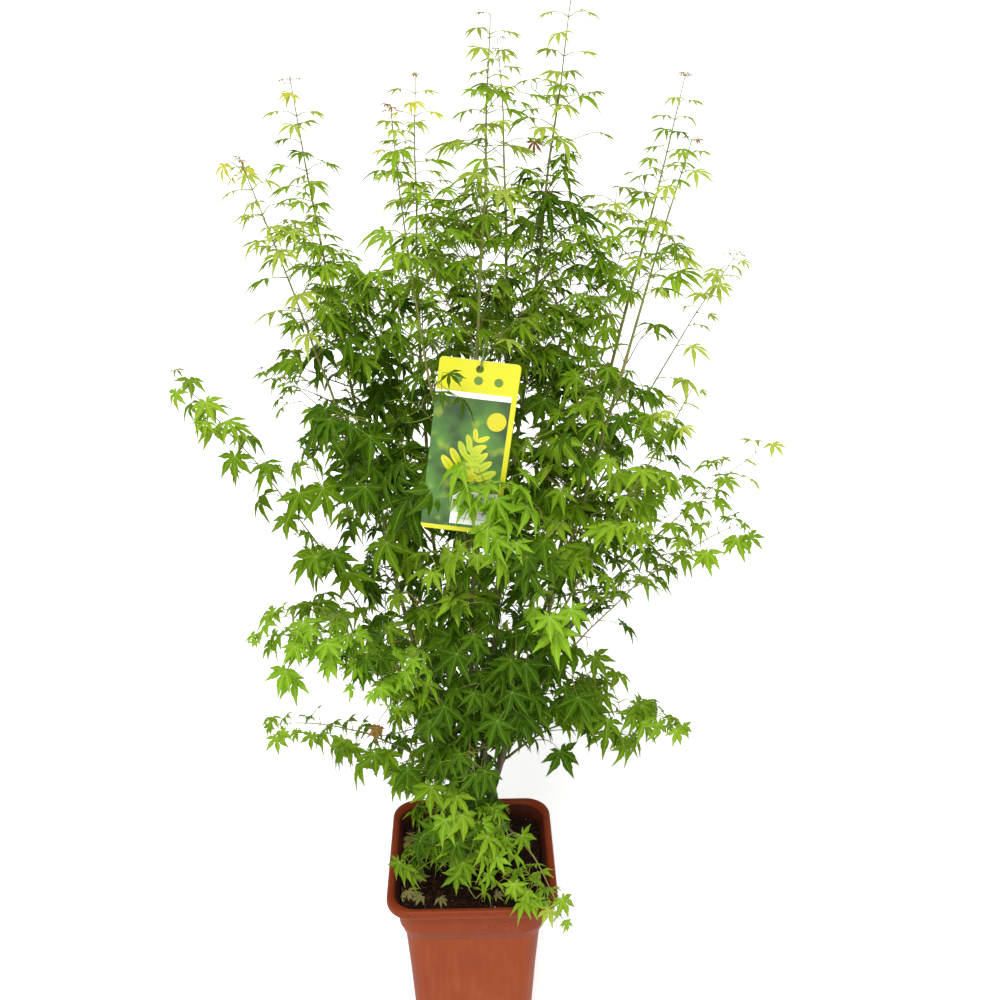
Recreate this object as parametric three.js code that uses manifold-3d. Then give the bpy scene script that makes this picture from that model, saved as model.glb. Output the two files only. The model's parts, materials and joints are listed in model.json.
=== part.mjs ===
// A potted Japanese maple: a young many-stemmed tree in a square nursery pot.
// Millimetres, +Z up. The origin is the centre of the pot's underside.

import * as THREE from 'three';
import { mergeVertices } from 'three/addons/utils/BufferGeometryUtils.js';
import Module from 'manifold-3d';

const wasm = await Module();
wasm.setup();

// ---------------------------------------------------------------- driving dimensions

const GAP = 0.35; // clearance between a piece and what it is seated on
const FOLIAGE_GAP = 0.9; // clearance between two neighbouring masses of foliage

const POT = {
  height: 250,
  baseHalf: 69, // half the width at the underside
  wallHalf: 80.5, // half the width just under the collar
  collarHalf: 87, // half the width of the collar under the rim
  rimHalf: 100, // half the width over the rolled rim
  rimDepth: 11,
  collarDepth: 47,
  collarSlope: 11, // height over which the wall spreads to the collar
  wall: 2.2,
  floor: 2.6,
  cornerShare: 0.26, // corner radius as a share of the half width
  cornerSteps: 4,
  holeRadius: 6,
  holeSides: 8,
  holeRing: 46,
  holeCount: 6,
};

const SOIL = {
  top: 233,
  seat: 26, // half the width of the level place where the trunk stands
  middle: 44,
  edge: 62,
  unevenness: 1.4,
};

const TRUNK = {
  top: 296,
  footRadius: 21,
  topRadius: 14.8,
  lean: [3, -4], // how far the trunk's head stands from its foot
  ring: 10, // radius of the ring that the stems stand on
  sides: 12,
  steps: 5,
};

// Main stems stand on the trunk's head: foot is their bearing there in degrees, or null at its middle.
// bow pushes the middle of a limb to one side and up, wood is the share of its length up to its shoot
// of leaves, and shoot is the radius of that shoot.
const STEMS = {
  left: { foot: 190, tip: [-162, 60, 1130], bow: [-14, -12, 0], wood: 0.77, shoot: 33 },
  front: { foot: 250, tip: [24, -85, 1190], bow: [-8, -48, 0], wood: 0.80, shoot: 40 },
  centre: { foot: null, tip: [98, 20, 1201], bow: [-2, 0, 0], wood: 0.79, shoot: 40 },
  right: { foot: 10, tip: [223, 120, 1130], bow: [4, -14, 0], wood: 0.79, shoot: 33 },
  front_right: { foot: 310, tip: [186, -130, 1097], bow: [0, -12, 0], wood: 0.78, shoot: 32 },
  back_left: { foot: 130, tip: [-50, 200, 1125], bow: [-24, 10, 0], wood: 0.80, shoot: 36 },
  back_right: { foot: 70, tip: [37, 205, 1161], bow: [28, 36, 0], wood: 0.80, shoot: 38 },
};

// Boughs leave a stem at a share of its length. A middle pushed up lets the tip nod.
const BOUGHS = {
  left_top: { stem: 'left', at: 0.40, tip: [-183, -110, 1080], bow: [6, 0, -6], wood: 0.62, shoot: 30 },
  front_top: { stem: 'front', at: 0.44, tip: [-57, -120, 1122], bow: [-8, 0, -20], wood: 0.60, shoot: 31 },
  right_top: { stem: 'right', at: 0.36, tip: [276, 60, 963], bow: [-10, 0, 12], wood: 0.52, shoot: 31 },
  right_front: {
    stem: 'front_right', at: 0.34, tip: [186, -205, 912], bow: [0, -6, 4], wood: 0.46, shoot: 42,
  },
  right_middle: { stem: 'right', at: 0.24, tip: [348, 120, 733], bow: [0, 0, 26], wood: 0.38, shoot: 46 },
  right_low: { stem: 'front_right', at: 0.23, tip: [253, -130, 750], bow: [0, 0, 40], wood: 0.36, shoot: 44 },
  right_back: { stem: 'back_right', at: 0.15, tip: [252, 215, 505], bow: [0, 0, 46], wood: 0.36, shoot: 46 },
  right_foot: { stem: 'right', at: 0.10, tip: [221, -60, 478], bow: [0, 0, 48], wood: 0.28, shoot: 44 },
  left_arch: { stem: 'left', at: 0.16, tip: [-267, -80, 886], bow: [-12, 0, 60], wood: 0.36, shoot: 35 },
  left_back: { stem: 'back_left', at: 0.40, tip: [-235, 215, 802], bow: [0, 0, 30], wood: 0.42, shoot: 38 },
  left_front: { stem: 'front', at: 0.20, tip: [-185, -205, 680], bow: [0, 0, 44], wood: 0.36, shoot: 52 },
  left_foot: { stem: 'left', at: 0.08, tip: [-234, 60, 397], bow: [0, 0, 36], wood: 0.26, shoot: 40 },
  front_foot: { stem: 'front', at: 0.09, tip: [4, -106, 276], bow: [-40, -14, 74], wood: 0.28, shoot: 44 },
  rim: { stem: 'front_right', at: 0.03, tip: [99, -121, 262], bow: [4, -8, 44], wood: 0.52, shoot: 26 },
};

// Clumps of leaves round a stem, from one share of its length to another, shifted outward by out.
const CLUMPS = {
  left_middle: { stem: 'left', from: 0.24, to: 0.55, radius: 60, out: 30 },
  left_upper: { stem: 'left', from: 0.53, to: 0.80, radius: 66, out: 6 },
  front_low: { stem: 'front', from: 0.06, to: 0.33, radius: 62, out: 14 },
  front_middle: { stem: 'front', from: 0.35, to: 0.60, radius: 72, out: -14 },
  front_upper: { stem: 'front', from: 0.62, to: 0.83, radius: 50, out: -32 },
  centre_upper: { stem: 'centre', from: 0.56, to: 0.82, radius: 64, out: 8 },
  right_upper: { stem: 'right', from: 0.50, to: 0.80, radius: 68, out: -4 },
  front_right_middle: { stem: 'front_right', from: 0.26, to: 0.56, radius: 70, out: 6 },
  front_right_upper: { stem: 'front_right', from: 0.53, to: 0.80, radius: 60, out: -4 },
  back_left_middle: { stem: 'back_left', from: 0.13, to: 0.49, radius: 74, out: 14 },
  back_left_upper: { stem: 'back_left', from: 0.51, to: 0.81, radius: 70, out: 0 },
  back_right_middle: { stem: 'back_right', from: 0.11, to: 0.47, radius: 76, out: 6 },
  back_right_upper: { stem: 'back_right', from: 0.49, to: 0.81, radius: 72, out: -6 },
};

const WOOD = {
  stemRadius: 4.4,
  boughRadius: 3.1,
  thinRadius: 2.2, // of the two boughs that hang over the pot
  endShare: 0.42, // radius at the far end as a share of the radius at the near end
  stemSides: 6,
  stemSteps: 6,
  boughSides: 5,
  boughSteps: 5,
};

const FOLIAGE = {
  unevenness: 0.16, // of a mass's radius
  shootDraw: 0.5, // how far a shoot draws in towards its tip, as a share of its radius
  clumpDraw: 0.12,
  slenderShoot: 42, // shoots of a smaller radius are slender
  slenderLap: 0.03, // share of a limb that its shoot laps over
  fullLap: 0.06,
  around: 7,
  rings: 5,
};

const LABEL = {
  width: 70,
  height: 162,
  thickness: 1.0,
  corner: 4,
  holeRadius: 3.5,
  holeDrop: 8, // from the top edge to the hole's centre
  hang: [14, -129, 904], // centre of the hole
  swing: 8.5, // degrees in the label's own plane
  backwardTilt: 3,
  clearance: 1.2, // kept free of leaves all round
};

const TIE = {
  radius: 1.1,
  sides: 5,
  segments: 18,
  clearance: 3.6, // from the stem's surface to the middle of the cord
  bearing: 0.9, // how far above the hole's centre the cord passes
  rise: 19, // from the hole up to where the cord goes round the stem
};

const COLOURS = {
  plastic: { color: 0xa8502c, roughness: 0.48 },
  soil: { color: 0x1d120c, roughness: 0.95 },
  bark: { color: 0x6b5a35, roughness: 0.8 },
  foliage: { color: 0x4c8a1c, roughness: 0.6 },
  freshFoliage: { color: 0x7fb526, roughness: 0.6 },
  card: { color: 0xf0d21a, roughness: 0.45 },
  tie: { color: 0x1f4d2a, roughness: 0.5 },
};

const THIN_BOUGHS = ['front_foot', 'rim'];
const FRESH_SHOOTS = ['front_foot', 'rim', 'left_front'];

// ---------------------------------------------------------------- solids and meshes

const tree = new THREE.Group();

// A closed geometry as a solid that can be joined and cut.
function toSolid(geometry) {
  const bare = geometry.clone();
  bare.deleteAttribute('normal');
  bare.deleteAttribute('uv');
  const merged = mergeVertices(bare, 1e-4);
  const corners = merged.index.array;
  const kept = [];
  for (let i = 0; i < corners.length; i += 3) {
    const [a, b, c] = [corners[i], corners[i + 1], corners[i + 2]];
    if (a !== b && b !== c && c !== a) kept.push(a, b, c);
  }
  return new wasm.Manifold(new wasm.Mesh({
    numProp: 3,
    vertProperties: new Float32Array(merged.attributes.position.array),
    triVerts: new Uint32Array(kept),
  }));
}

function fromSolid(solid) {
  const cut = solid.getMesh();
  const geometry = new THREE.BufferGeometry();
  geometry.setAttribute('position', new THREE.BufferAttribute(cut.vertProperties, cut.numProp));
  geometry.setIndex(new THREE.BufferAttribute(cut.triVerts, 1));
  geometry.computeVertexNormals();
  return geometry;
}

// The biggest connected body of a solid.
function mainBody(solid) {
  const bodies = solid.decompose();
  return bodies.reduce((best, body) => (body.volume() > best.volume() ? body : best));
}

function boxesMeet(a, b) {
  const [p, q] = [a.boundingBox(), b.boundingBox()];
  return [0, 1, 2].every((axis) => p.min[axis] < q.max[axis] && q.min[axis] < p.max[axis]);
}

function cutBy(solid, cutters) {
  let result = solid;
  for (const cutter of cutters) {
    if (boxesMeet(result, cutter)) result = result.subtract(cutter);
  }
  return mainBody(result);
}

function addMesh(name, solid, { color, roughness }) {
  const material = new THREE.MeshStandardMaterial({ color, roughness, metalness: 0 });
  const mesh = new THREE.Mesh(fromSolid(solid), material);
  mesh.name = name;
  tree.add(mesh);
}

// Moves every vertex of a geometry to place(vertex, index).
function reshape(geometry, place) {
  const position = geometry.attributes.position;
  const vertex = new THREE.Vector3();
  for (let i = 0; i < position.count; i += 1) {
    vertex.fromBufferAttribute(position, i);
    const { x, y, z } = place(vertex, i);
    position.setXYZ(i, x, y, z);
  }
  return geometry;
}

// ---------------------------------------------------------------- pot and soil

const OUTLINE_POINTS = 4 * (POT.cornerSteps + 1);

// A point of a square outline with rounded corners, by its number round the outline.
function squarePoint(number, half) {
  const corner = Math.floor(number / (POT.cornerSteps + 1));
  const step = number % (POT.cornerSteps + 1);
  const radius = half * POT.cornerShare;
  const angle = (corner + step / POT.cornerSteps) * Math.PI / 2;
  const sideX = corner === 0 || corner === 3 ? 1 : -1;
  const sideY = corner < 2 ? 1 : -1;
  return new THREE.Vector2(
    sideX * (half - radius) + radius * Math.cos(angle),
    sideY * (half - radius) + radius * Math.sin(angle),
  );
}

// A turned profile of [half width, height] whose rings are squared to the pot's outline.
function squareTurned(profile, lift = () => 0) {
  const points = profile.map(([half, height]) => new THREE.Vector2(half, height));
  const turned = new THREE.LatheGeometry(points, OUTLINE_POINTS);
  return reshape(turned, (vertex, index) => {
    const number = Math.floor(index / points.length) % OUTLINE_POINTS;
    const half = points[index % points.length].x;
    const at = squarePoint(number, half);
    return new THREE.Vector3(at.x, at.y, vertex.y + lift(at.x, at.y, half, vertex.y));
  });
}

function potProfile() {
  const { height, baseHalf, wallHalf, collarHalf, collarSlope, rimHalf, wall, floor } = POT;
  const rimFoot = height - POT.rimDepth;
  const collarFoot = height - POT.collarDepth;
  return [
    [0, 0], [baseHalf - 2, 0], [baseHalf, 2.5],
    [wallHalf, collarFoot - collarSlope], [collarHalf - 3, collarFoot], [collarHalf, rimFoot - 3],
    [rimHalf - 2.5, rimFoot], [rimHalf - 0.4, rimFoot + 2.5], [rimHalf - 0.2, height - 3],
    [rimHalf - 2.6, height - 0.3], [rimHalf - 6.4, height], [rimHalf - 8.6, height - 2],
    [collarHalf - wall + 1, rimFoot - 3], [collarHalf - 3 - wall, collarFoot],
    [wallHalf - wall, collarFoot - collarSlope], [baseHalf - wall + 0.1, floor], [0, floor],
  ];
}

function drainHoles() {
  const holes = [];
  for (let i = 0; i < POT.holeCount; i += 1) {
    const bearing = (i + 0.5) * 2 * Math.PI / POT.holeCount;
    const hole = new THREE.CylinderGeometry(POT.holeRadius, POT.holeRadius, 20, POT.holeSides);
    hole.rotateX(Math.PI / 2);
    hole.translate(POT.holeRing * Math.cos(bearing), POT.holeRing * Math.sin(bearing), 0);
    holes.push(toSolid(hole));
  }
  return holes;
}

// The soil fills the pot, level where the trunk stands and a little uneven round it.
function soilGeometry() {
  const { baseHalf, wallHalf, collarHalf, collarSlope, wall, floor } = POT;
  const inside = (half) => half - wall - GAP;
  const collarFoot = POT.height - POT.collarDepth;
  const profile = [
    [0, floor + GAP], [inside(baseHalf) - 0.3, floor + GAP],
    [inside(wallHalf) - 0.2, collarFoot - collarSlope],
    [inside(collarHalf) - 3.2, collarFoot], [inside(collarHalf) - 1.2, SOIL.top - 2],
    [SOIL.edge, SOIL.top], [SOIL.middle, SOIL.top], [SOIL.seat, SOIL.top], [0, SOIL.top],
  ];
  return squareTurned(profile, (x, y, half, height) => {
    const loose = height === SOIL.top && half > SOIL.seat + 1;
    return loose ? SOIL.unevenness * Math.sin(x / 13 + 1) * Math.cos(y / 11 - 2) : 0;
  });
}

// ---------------------------------------------------------------- limbs

const toVector = (values) => new THREE.Vector3(...values);

// A curve from start to tip whose middle is pushed aside by bow.
function limbCurve(start, tip, bow) {
  const chord = tip.clone().sub(start);
  const push = toVector(bow);
  const near = start.clone().addScaledVector(chord, 1 / 3).add(push);
  const far = start.clone().addScaledVector(chord, 2 / 3).addScaledVector(push, 1.1);
  return new THREE.CubicBezierCurve3(start, near, far, tip);
}

// Directions at a place along a curve: along it, level across it, and square to both.
function crossAxes(curve, share) {
  const chord = curve.getPoint(1).sub(curve.getPoint(0));
  const along = curve.getTangentAt(share);
  const level = new THREE.Vector3(-chord.y, chord.x, 0);
  const front = along.clone().cross(level).normalize();
  return { side: front.clone().cross(along), front, along };
}

// A round tapering limb along a stretch of a curve, made bigger all round by grow.
function limbSolid({ curve, from = 0, to, radiusAt, sides, steps, grow = 0 }) {
  const bar = new THREE.CylinderGeometry(1, 1, 1, sides, steps);
  return toSolid(reshape(bar, (vertex) => {
    const share = THREE.MathUtils.clamp(vertex.y + 0.5, 0, 1);
    const at = from + (to - from) * share;
    const { side, front, along } = crossAxes(curve, at);
    const radius = radiusAt(share) + grow;
    const end = share === 0 ? -grow : share === 1 ? grow : 0;
    return curve.getPointAt(at)
      .addScaledVector(side, vertex.x * radius)
      .addScaledVector(front, -vertex.z * radius)
      .addScaledVector(along, end);
  }));
}

const taper = (near, far) => (share) => near + (far - near) * share;

function trunkSpec() {
  const start = new THREE.Vector3(0, 0, SOIL.top + GAP);
  const tip = new THREE.Vector3(TRUNK.lean[0], TRUNK.lean[1], TRUNK.top);
  const flare = (share) => (TRUNK.footRadius - TRUNK.topRadius) * Math.exp(-5 * share);
  return {
    curve: new THREE.LineCurve3(start, tip),
    to: 1,
    radiusAt: (share) => TRUNK.topRadius + flare(share),
    sides: TRUNK.sides,
    steps: TRUNK.steps,
  };
}

// The trunk's foot is cut level with the soil.
function levelFoot(solid) {
  const below = new THREE.BoxGeometry(200, 200, 40);
  below.translate(0, 0, SOIL.top + GAP - 20);
  return solid.subtract(toSolid(below));
}

function stemSpec({ foot, tip, bow, wood }) {
  const ring = foot === null ? 0 : TRUNK.ring;
  const bearing = THREE.MathUtils.degToRad(foot ?? 0);
  const start = new THREE.Vector3(
    TRUNK.lean[0] + ring * Math.cos(bearing),
    TRUNK.lean[1] + ring * Math.sin(bearing),
    TRUNK.top - 4,
  );
  return {
    curve: limbCurve(start, toVector(tip), bow),
    to: wood,
    radiusAt: taper(WOOD.stemRadius, WOOD.stemRadius * WOOD.endShare),
    sides: WOOD.stemSides,
    steps: WOOD.stemSteps,
  };
}

function boughSpec(name, { at, tip, bow, wood }, stem) {
  const near = THIN_BOUGHS.includes(name) ? WOOD.thinRadius : WOOD.boughRadius;
  return {
    curve: limbCurve(stem.curve.getPointAt(at), toVector(tip), bow),
    to: wood,
    radiusAt: taper(near, near * WOOD.endShare),
    sides: WOOD.boughSides,
    steps: WOOD.boughSteps,
  };
}

// ---------------------------------------------------------------- foliage

// A smooth bumpiness between about -1 and 1, different for each seed.
function bumpiness({ x, y, z }, seed) {
  return 0.5 * Math.sin(3.1 * x + 1.7 * seed) * Math.cos(2.7 * y - seed)
    + 0.5 * Math.sin(3.7 * z + 2.3 * seed + x - y);
}

// A closed uneven body along a stretch of a curve: widest low down and drawn out to its tip.
function foliageSolid({ curve, from, to, radius, draw, out, seed, rings, grow = 0 }) {
  const ball = new THREE.SphereGeometry(1, FOLIAGE.around, rings);
  ball.rotateX(Math.PI / 2);
  const length = curve.getLength();
  const middle = curve.getPointAt((from + to) / 2);
  const outward = new THREE.Vector3(middle.x, middle.y, 0).normalize().multiplyScalar(out);
  return toSolid(reshape(ball, (vertex) => {
    const share = (vertex.z + 1) / 2;
    const at = THREE.MathUtils.clamp(from + (to - from) * share, 0, 1);
    const { side, front, along } = crossAxes(curve, at);
    const bump = 1 + FOLIAGE.unevenness * bumpiness(vertex, seed) * (1 - vertex.z ** 2);
    const reach = radius * bump * (1 - draw * share) + grow;
    const past = (from + (to - from) * share - at) * length + grow * vertex.z;
    return curve.getPointAt(at)
      .add(outward)
      .addScaledVector(side, vertex.x * reach)
      .addScaledVector(front, vertex.y * reach)
      .addScaledVector(along, past);
  }));
}

function shootSpec({ shoot, wood }, limb, seed) {
  const slender = shoot < FOLIAGE.slenderShoot;
  return {
    curve: limb.curve,
    from: wood - (slender ? FOLIAGE.slenderLap : FOLIAGE.fullLap),
    to: 1,
    radius: shoot,
    draw: FOLIAGE.shootDraw,
    out: 0,
    seed,
    rings: slender ? FOLIAGE.rings : FOLIAGE.rings + 1,
  };
}

function clumpSpec({ from, to, radius, out }, limb, seed) {
  const { clumpDraw, rings } = FOLIAGE;
  return { curve: limb.curve, from, to, radius, draw: clumpDraw, out, seed, rings };
}

// ---------------------------------------------------------------- label and its tie

function labelFrame() {
  const { hang, swing, backwardTilt } = LABEL;
  const turn = new THREE.Euler(
    THREE.MathUtils.degToRad(90 - backwardTilt),
    THREE.MathUtils.degToRad(swing),
    0,
    'YXZ',
  );
  return new THREE.Matrix4().makeRotationFromEuler(turn).setPosition(toVector(hang));
}

// The card in its own plane, hung from the origin, with its hole there.
function labelSolid(grow = 0) {
  const { width, height, thickness, corner, holeRadius, holeDrop } = LABEL;
  const right = width / 2 + grow;
  const top = holeDrop + grow;
  const bottom = holeDrop - height - grow;
  const card = new THREE.Shape();
  card.moveTo(-right + corner, bottom);
  card.absarc(right - corner, bottom + corner, corner, -Math.PI / 2, 0);
  card.absarc(right - corner, top - corner, corner, 0, Math.PI / 2);
  card.absarc(-right + corner, top - corner, corner, Math.PI / 2, Math.PI);
  card.absarc(-right + corner, bottom + corner, corner, Math.PI, 1.5 * Math.PI);
  if (grow === 0) {
    const hole = new THREE.Path();
    hole.absarc(0, 0, holeRadius, 0, 2 * Math.PI, true);
    card.holes.push(hole);
  }
  const depth = thickness + 2 * grow;
  const plate = new THREE.ExtrudeGeometry(card, { depth, bevelEnabled: false, curveSegments: 2 });
  plate.translate(0, 0, -depth / 2);
  plate.applyMatrix4(labelFrame());
  return toSolid(plate);
}

// A closed loop through the label's hole and round the front stem.
function tieSolid(stem, grow = 0) {
  const { radius, sides, segments, clearance, bearing, rise } = TIE;
  const hole = toVector(LABEL.hang).add(new THREE.Vector3(0, 0, bearing));
  const share = findShareAtHeight(stem.curve, hole.z + rise);
  const centre = stem.curve.getPointAt(share);
  const round = stem.radiusAt(share / stem.to) + clearance;
  const route = new THREE.CatmullRomCurve3([
    hole.clone().add(new THREE.Vector3(0, -4.5, 3)),
    hole.clone(),
    hole.clone().add(new THREE.Vector3(-2.5, 6, 2)),
    centre.clone().add(new THREE.Vector3(-round, -2, -1)),
    centre.clone().add(new THREE.Vector3(0, round, 1)),
    centre.clone().add(new THREE.Vector3(round, -2, 1)),
    hole.clone().add(new THREE.Vector3(3, 3.5, 15.5)),
    hole.clone().add(new THREE.Vector3(1, -4, 11)),
  ], true, 'centripetal');
  const frames = route.computeFrenetFrames(segments, true);
  const ring = new THREE.TorusGeometry(2, 1, sides, segments);
  return toSolid(reshape(ring, (vertex, index) => {
    const along = (index % (segments + 1)) % segments;
    const across = Math.floor(index / (segments + 1)) % sides;
    const angle = across * 2 * Math.PI / sides;
    return route.getPointAt(along / segments)
      .addScaledVector(frames.normals[along], (radius + grow) * Math.cos(angle))
      .addScaledVector(frames.binormals[along], -(radius + grow) * Math.sin(angle));
  }));
}

function findShareAtHeight(curve, height) {
  let [low, high] = [0, 1];
  for (let i = 0; i < 30; i += 1) {
    const middle = (low + high) / 2;
    if (curve.getPointAt(middle).z < height) low = middle;
    else high = middle;
  }
  return low;
}

// ---------------------------------------------------------------- assembly

const potSolid = cutBy(toSolid(squareTurned(potProfile())), drainHoles());
addMesh('pot', potSolid, COLOURS.plastic);
addMesh('soil', toSolid(soilGeometry()), COLOURS.soil);

const trunk = trunkSpec();
addMesh('trunk', levelFoot(limbSolid(trunk)), COLOURS.bark);
const trunkCutter = limbSolid({ ...trunk, grow: GAP });

const limbs = new Map();
const limbCutters = new Map();
for (const [name, stem] of Object.entries(STEMS)) {
  const spec = stemSpec(stem);
  addMesh(`stem_${name}`, cutBy(limbSolid(spec), [trunkCutter]), COLOURS.bark);
  limbs.set(name, spec);
  limbCutters.set(name, limbSolid({ ...spec, grow: GAP }));
}
for (const [name, bough] of Object.entries(BOUGHS)) {
  const spec = boughSpec(name, bough, limbs.get(bough.stem));
  const solid = cutBy(limbSolid(spec), [limbCutters.get(bough.stem), trunkCutter]);
  addMesh(`bough_${name}`, solid, COLOURS.bark);
  limbs.set(name, spec);
  limbCutters.set(name, limbSolid({ ...spec, grow: GAP }));
}

const frontStem = limbs.get('front');
addMesh('label', labelSolid(), COLOURS.card);
addMesh('label_tie', tieSolid(frontStem), COLOURS.tie);

// Long shoots keep their whole shape, and the clumps between them give way.
const masses = new Map();
for (const [name, limb] of Object.entries({ ...STEMS, ...BOUGHS })) {
  masses.set(`${name}_shoot`, shootSpec(limb, limbs.get(name), masses.size));
}
for (const [name, clump] of Object.entries(CLUMPS)) {
  masses.set(name, clumpSpec(clump, limbs.get(clump.stem), masses.size));
}
const freshMasses = FRESH_SHOOTS.map((name) => `${name}_shoot`);
const clearHalf = POT.rimHalf + FOLIAGE_GAP;
const clearTop = POT.height + FOLIAGE_GAP;
const potEnvelope = toSolid(squareTurned([[0, -5], [clearHalf, -5], [clearHalf, clearTop], [0, clearTop]]));
const cutters = [
  potEnvelope, labelSolid(LABEL.clearance), tieSolid(frontStem, GAP), trunkCutter, ...limbCutters.values(),
];
for (const [name, spec] of masses) {
  const colour = freshMasses.includes(name) ? COLOURS.freshFoliage : COLOURS.foliage;
  addMesh(`foliage_${name}`, cutBy(foliageSolid(spec), cutters), colour);
  cutters.push(foliageSolid({ ...spec, grow: FOLIAGE_GAP }));
}

export default tree;
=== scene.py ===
import json
import math
import random

import bmesh
import bpy
import numpy as np
from bpy.props import FloatProperty, FloatVectorProperty, IntProperty
from mathutils import Matrix, Vector, noise
from mathutils.bvhtree import BVHTree

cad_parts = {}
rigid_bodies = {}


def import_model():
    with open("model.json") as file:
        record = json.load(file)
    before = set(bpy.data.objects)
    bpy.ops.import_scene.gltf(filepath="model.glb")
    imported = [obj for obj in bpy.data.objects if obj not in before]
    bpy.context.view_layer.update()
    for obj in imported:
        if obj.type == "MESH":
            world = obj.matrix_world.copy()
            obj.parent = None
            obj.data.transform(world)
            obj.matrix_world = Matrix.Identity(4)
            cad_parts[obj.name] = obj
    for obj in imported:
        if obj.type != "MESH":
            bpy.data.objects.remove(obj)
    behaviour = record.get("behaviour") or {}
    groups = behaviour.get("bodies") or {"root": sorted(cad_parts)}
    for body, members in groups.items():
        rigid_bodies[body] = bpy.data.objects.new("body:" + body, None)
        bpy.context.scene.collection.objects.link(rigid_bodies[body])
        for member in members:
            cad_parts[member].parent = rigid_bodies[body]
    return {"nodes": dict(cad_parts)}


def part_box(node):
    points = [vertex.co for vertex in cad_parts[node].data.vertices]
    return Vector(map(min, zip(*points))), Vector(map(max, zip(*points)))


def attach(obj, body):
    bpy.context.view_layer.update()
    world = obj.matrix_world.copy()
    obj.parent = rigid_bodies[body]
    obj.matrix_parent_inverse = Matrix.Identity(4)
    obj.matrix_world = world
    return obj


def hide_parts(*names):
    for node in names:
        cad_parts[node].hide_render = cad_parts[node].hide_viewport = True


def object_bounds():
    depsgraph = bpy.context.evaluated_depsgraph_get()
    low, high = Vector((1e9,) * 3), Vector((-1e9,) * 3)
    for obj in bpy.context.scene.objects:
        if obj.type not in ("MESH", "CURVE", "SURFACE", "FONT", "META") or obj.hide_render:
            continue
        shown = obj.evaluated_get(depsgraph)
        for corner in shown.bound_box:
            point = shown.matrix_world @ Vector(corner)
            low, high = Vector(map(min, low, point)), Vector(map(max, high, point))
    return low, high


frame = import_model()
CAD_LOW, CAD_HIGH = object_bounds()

bl_info = {
    "name": "Potted Japanese Maple",
    "version": (1, 0, 0),
    "blender": (4, 5, 0),
    "location": "3D View > Sidebar > Maple",
    "description": "Grows a potted maple on its limbs, and finishes its pot, soil and label",
    "category": "Add Mesh",
}

BODY = "root"
MM = 0.001
UP = np.array([0.0, 0.0, 1.0])
FOLIAGE_NODES = sorted(name for name in frame["nodes"] if name.startswith("foliage_"))
STEM_NODES = sorted(name for name in frame["nodes"] if name.startswith("stem_"))
BOUGH_NODES = sorted(name for name in frame["nodes"] if name.startswith("bough_"))
LEAF_MAP = "OFBake"
LEAF_TILES = 4  # a leaf's pattern lies in one of LEAF_TILES squared places of its map


# ---------------------------------------------------------------- node trees


class Value:
    """A number that a node gives. Python's operators add Math nodes to its tree."""

    def __init__(self, tree, socket):
        self.tree = tree
        self.socket = socket

    def math(self, operation, first, second=0.0, third=0.0):
        sockets = {0: first, 1: second, 2: third}
        node = self.tree.add("ShaderNodeMath", {"operation": operation}, sockets)
        return Value(self.tree, node.outputs[0])

    def __add__(self, other):
        return self.math("ADD", self, other)

    def __radd__(self, other):
        return self.math("ADD", other, self)

    def __sub__(self, other):
        return self.math("SUBTRACT", self, other)

    def __rsub__(self, other):
        return self.math("SUBTRACT", other, self)

    def __mul__(self, other):
        return self.math("MULTIPLY", self, other)

    def __rmul__(self, other):
        return self.math("MULTIPLY", other, self)

    def __truediv__(self, other):
        return self.math("DIVIDE", self, other)

    def __abs__(self):
        return self.math("ABSOLUTE", self)

    def floor(self):
        return self.math("FLOOR", self)

    def sine(self):
        return self.math("SINE", self)

    def mask(self, low, high):
        """0 below low and 1 above high, or the other way round where high is the smaller."""
        sockets = {"Value": self, "From Min": low, "From Max": high}
        node = self.tree.add("ShaderNodeMapRange", {"clamp": True}, sockets)
        return Value(self.tree, node.outputs[0])


class Tree:
    """Adds nodes to a tree, with their settings first and then the values or links of their sockets."""

    def __init__(self, tree):
        self.tree = tree

    def add(self, kind, settings=None, sockets=None):
        node = self.tree.nodes.new(kind)
        for name, setting in (settings or {}).items():
            setattr(node, name, setting)
        for name, value in (sockets or {}).items():
            socket = node.inputs[name]
            if isinstance(value, Value):
                self.tree.links.new(value.socket, socket)
            elif isinstance(value, bpy.types.NodeSocket):
                self.tree.links.new(value, socket)
            else:
                socket.default_value = value
        return node


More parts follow.
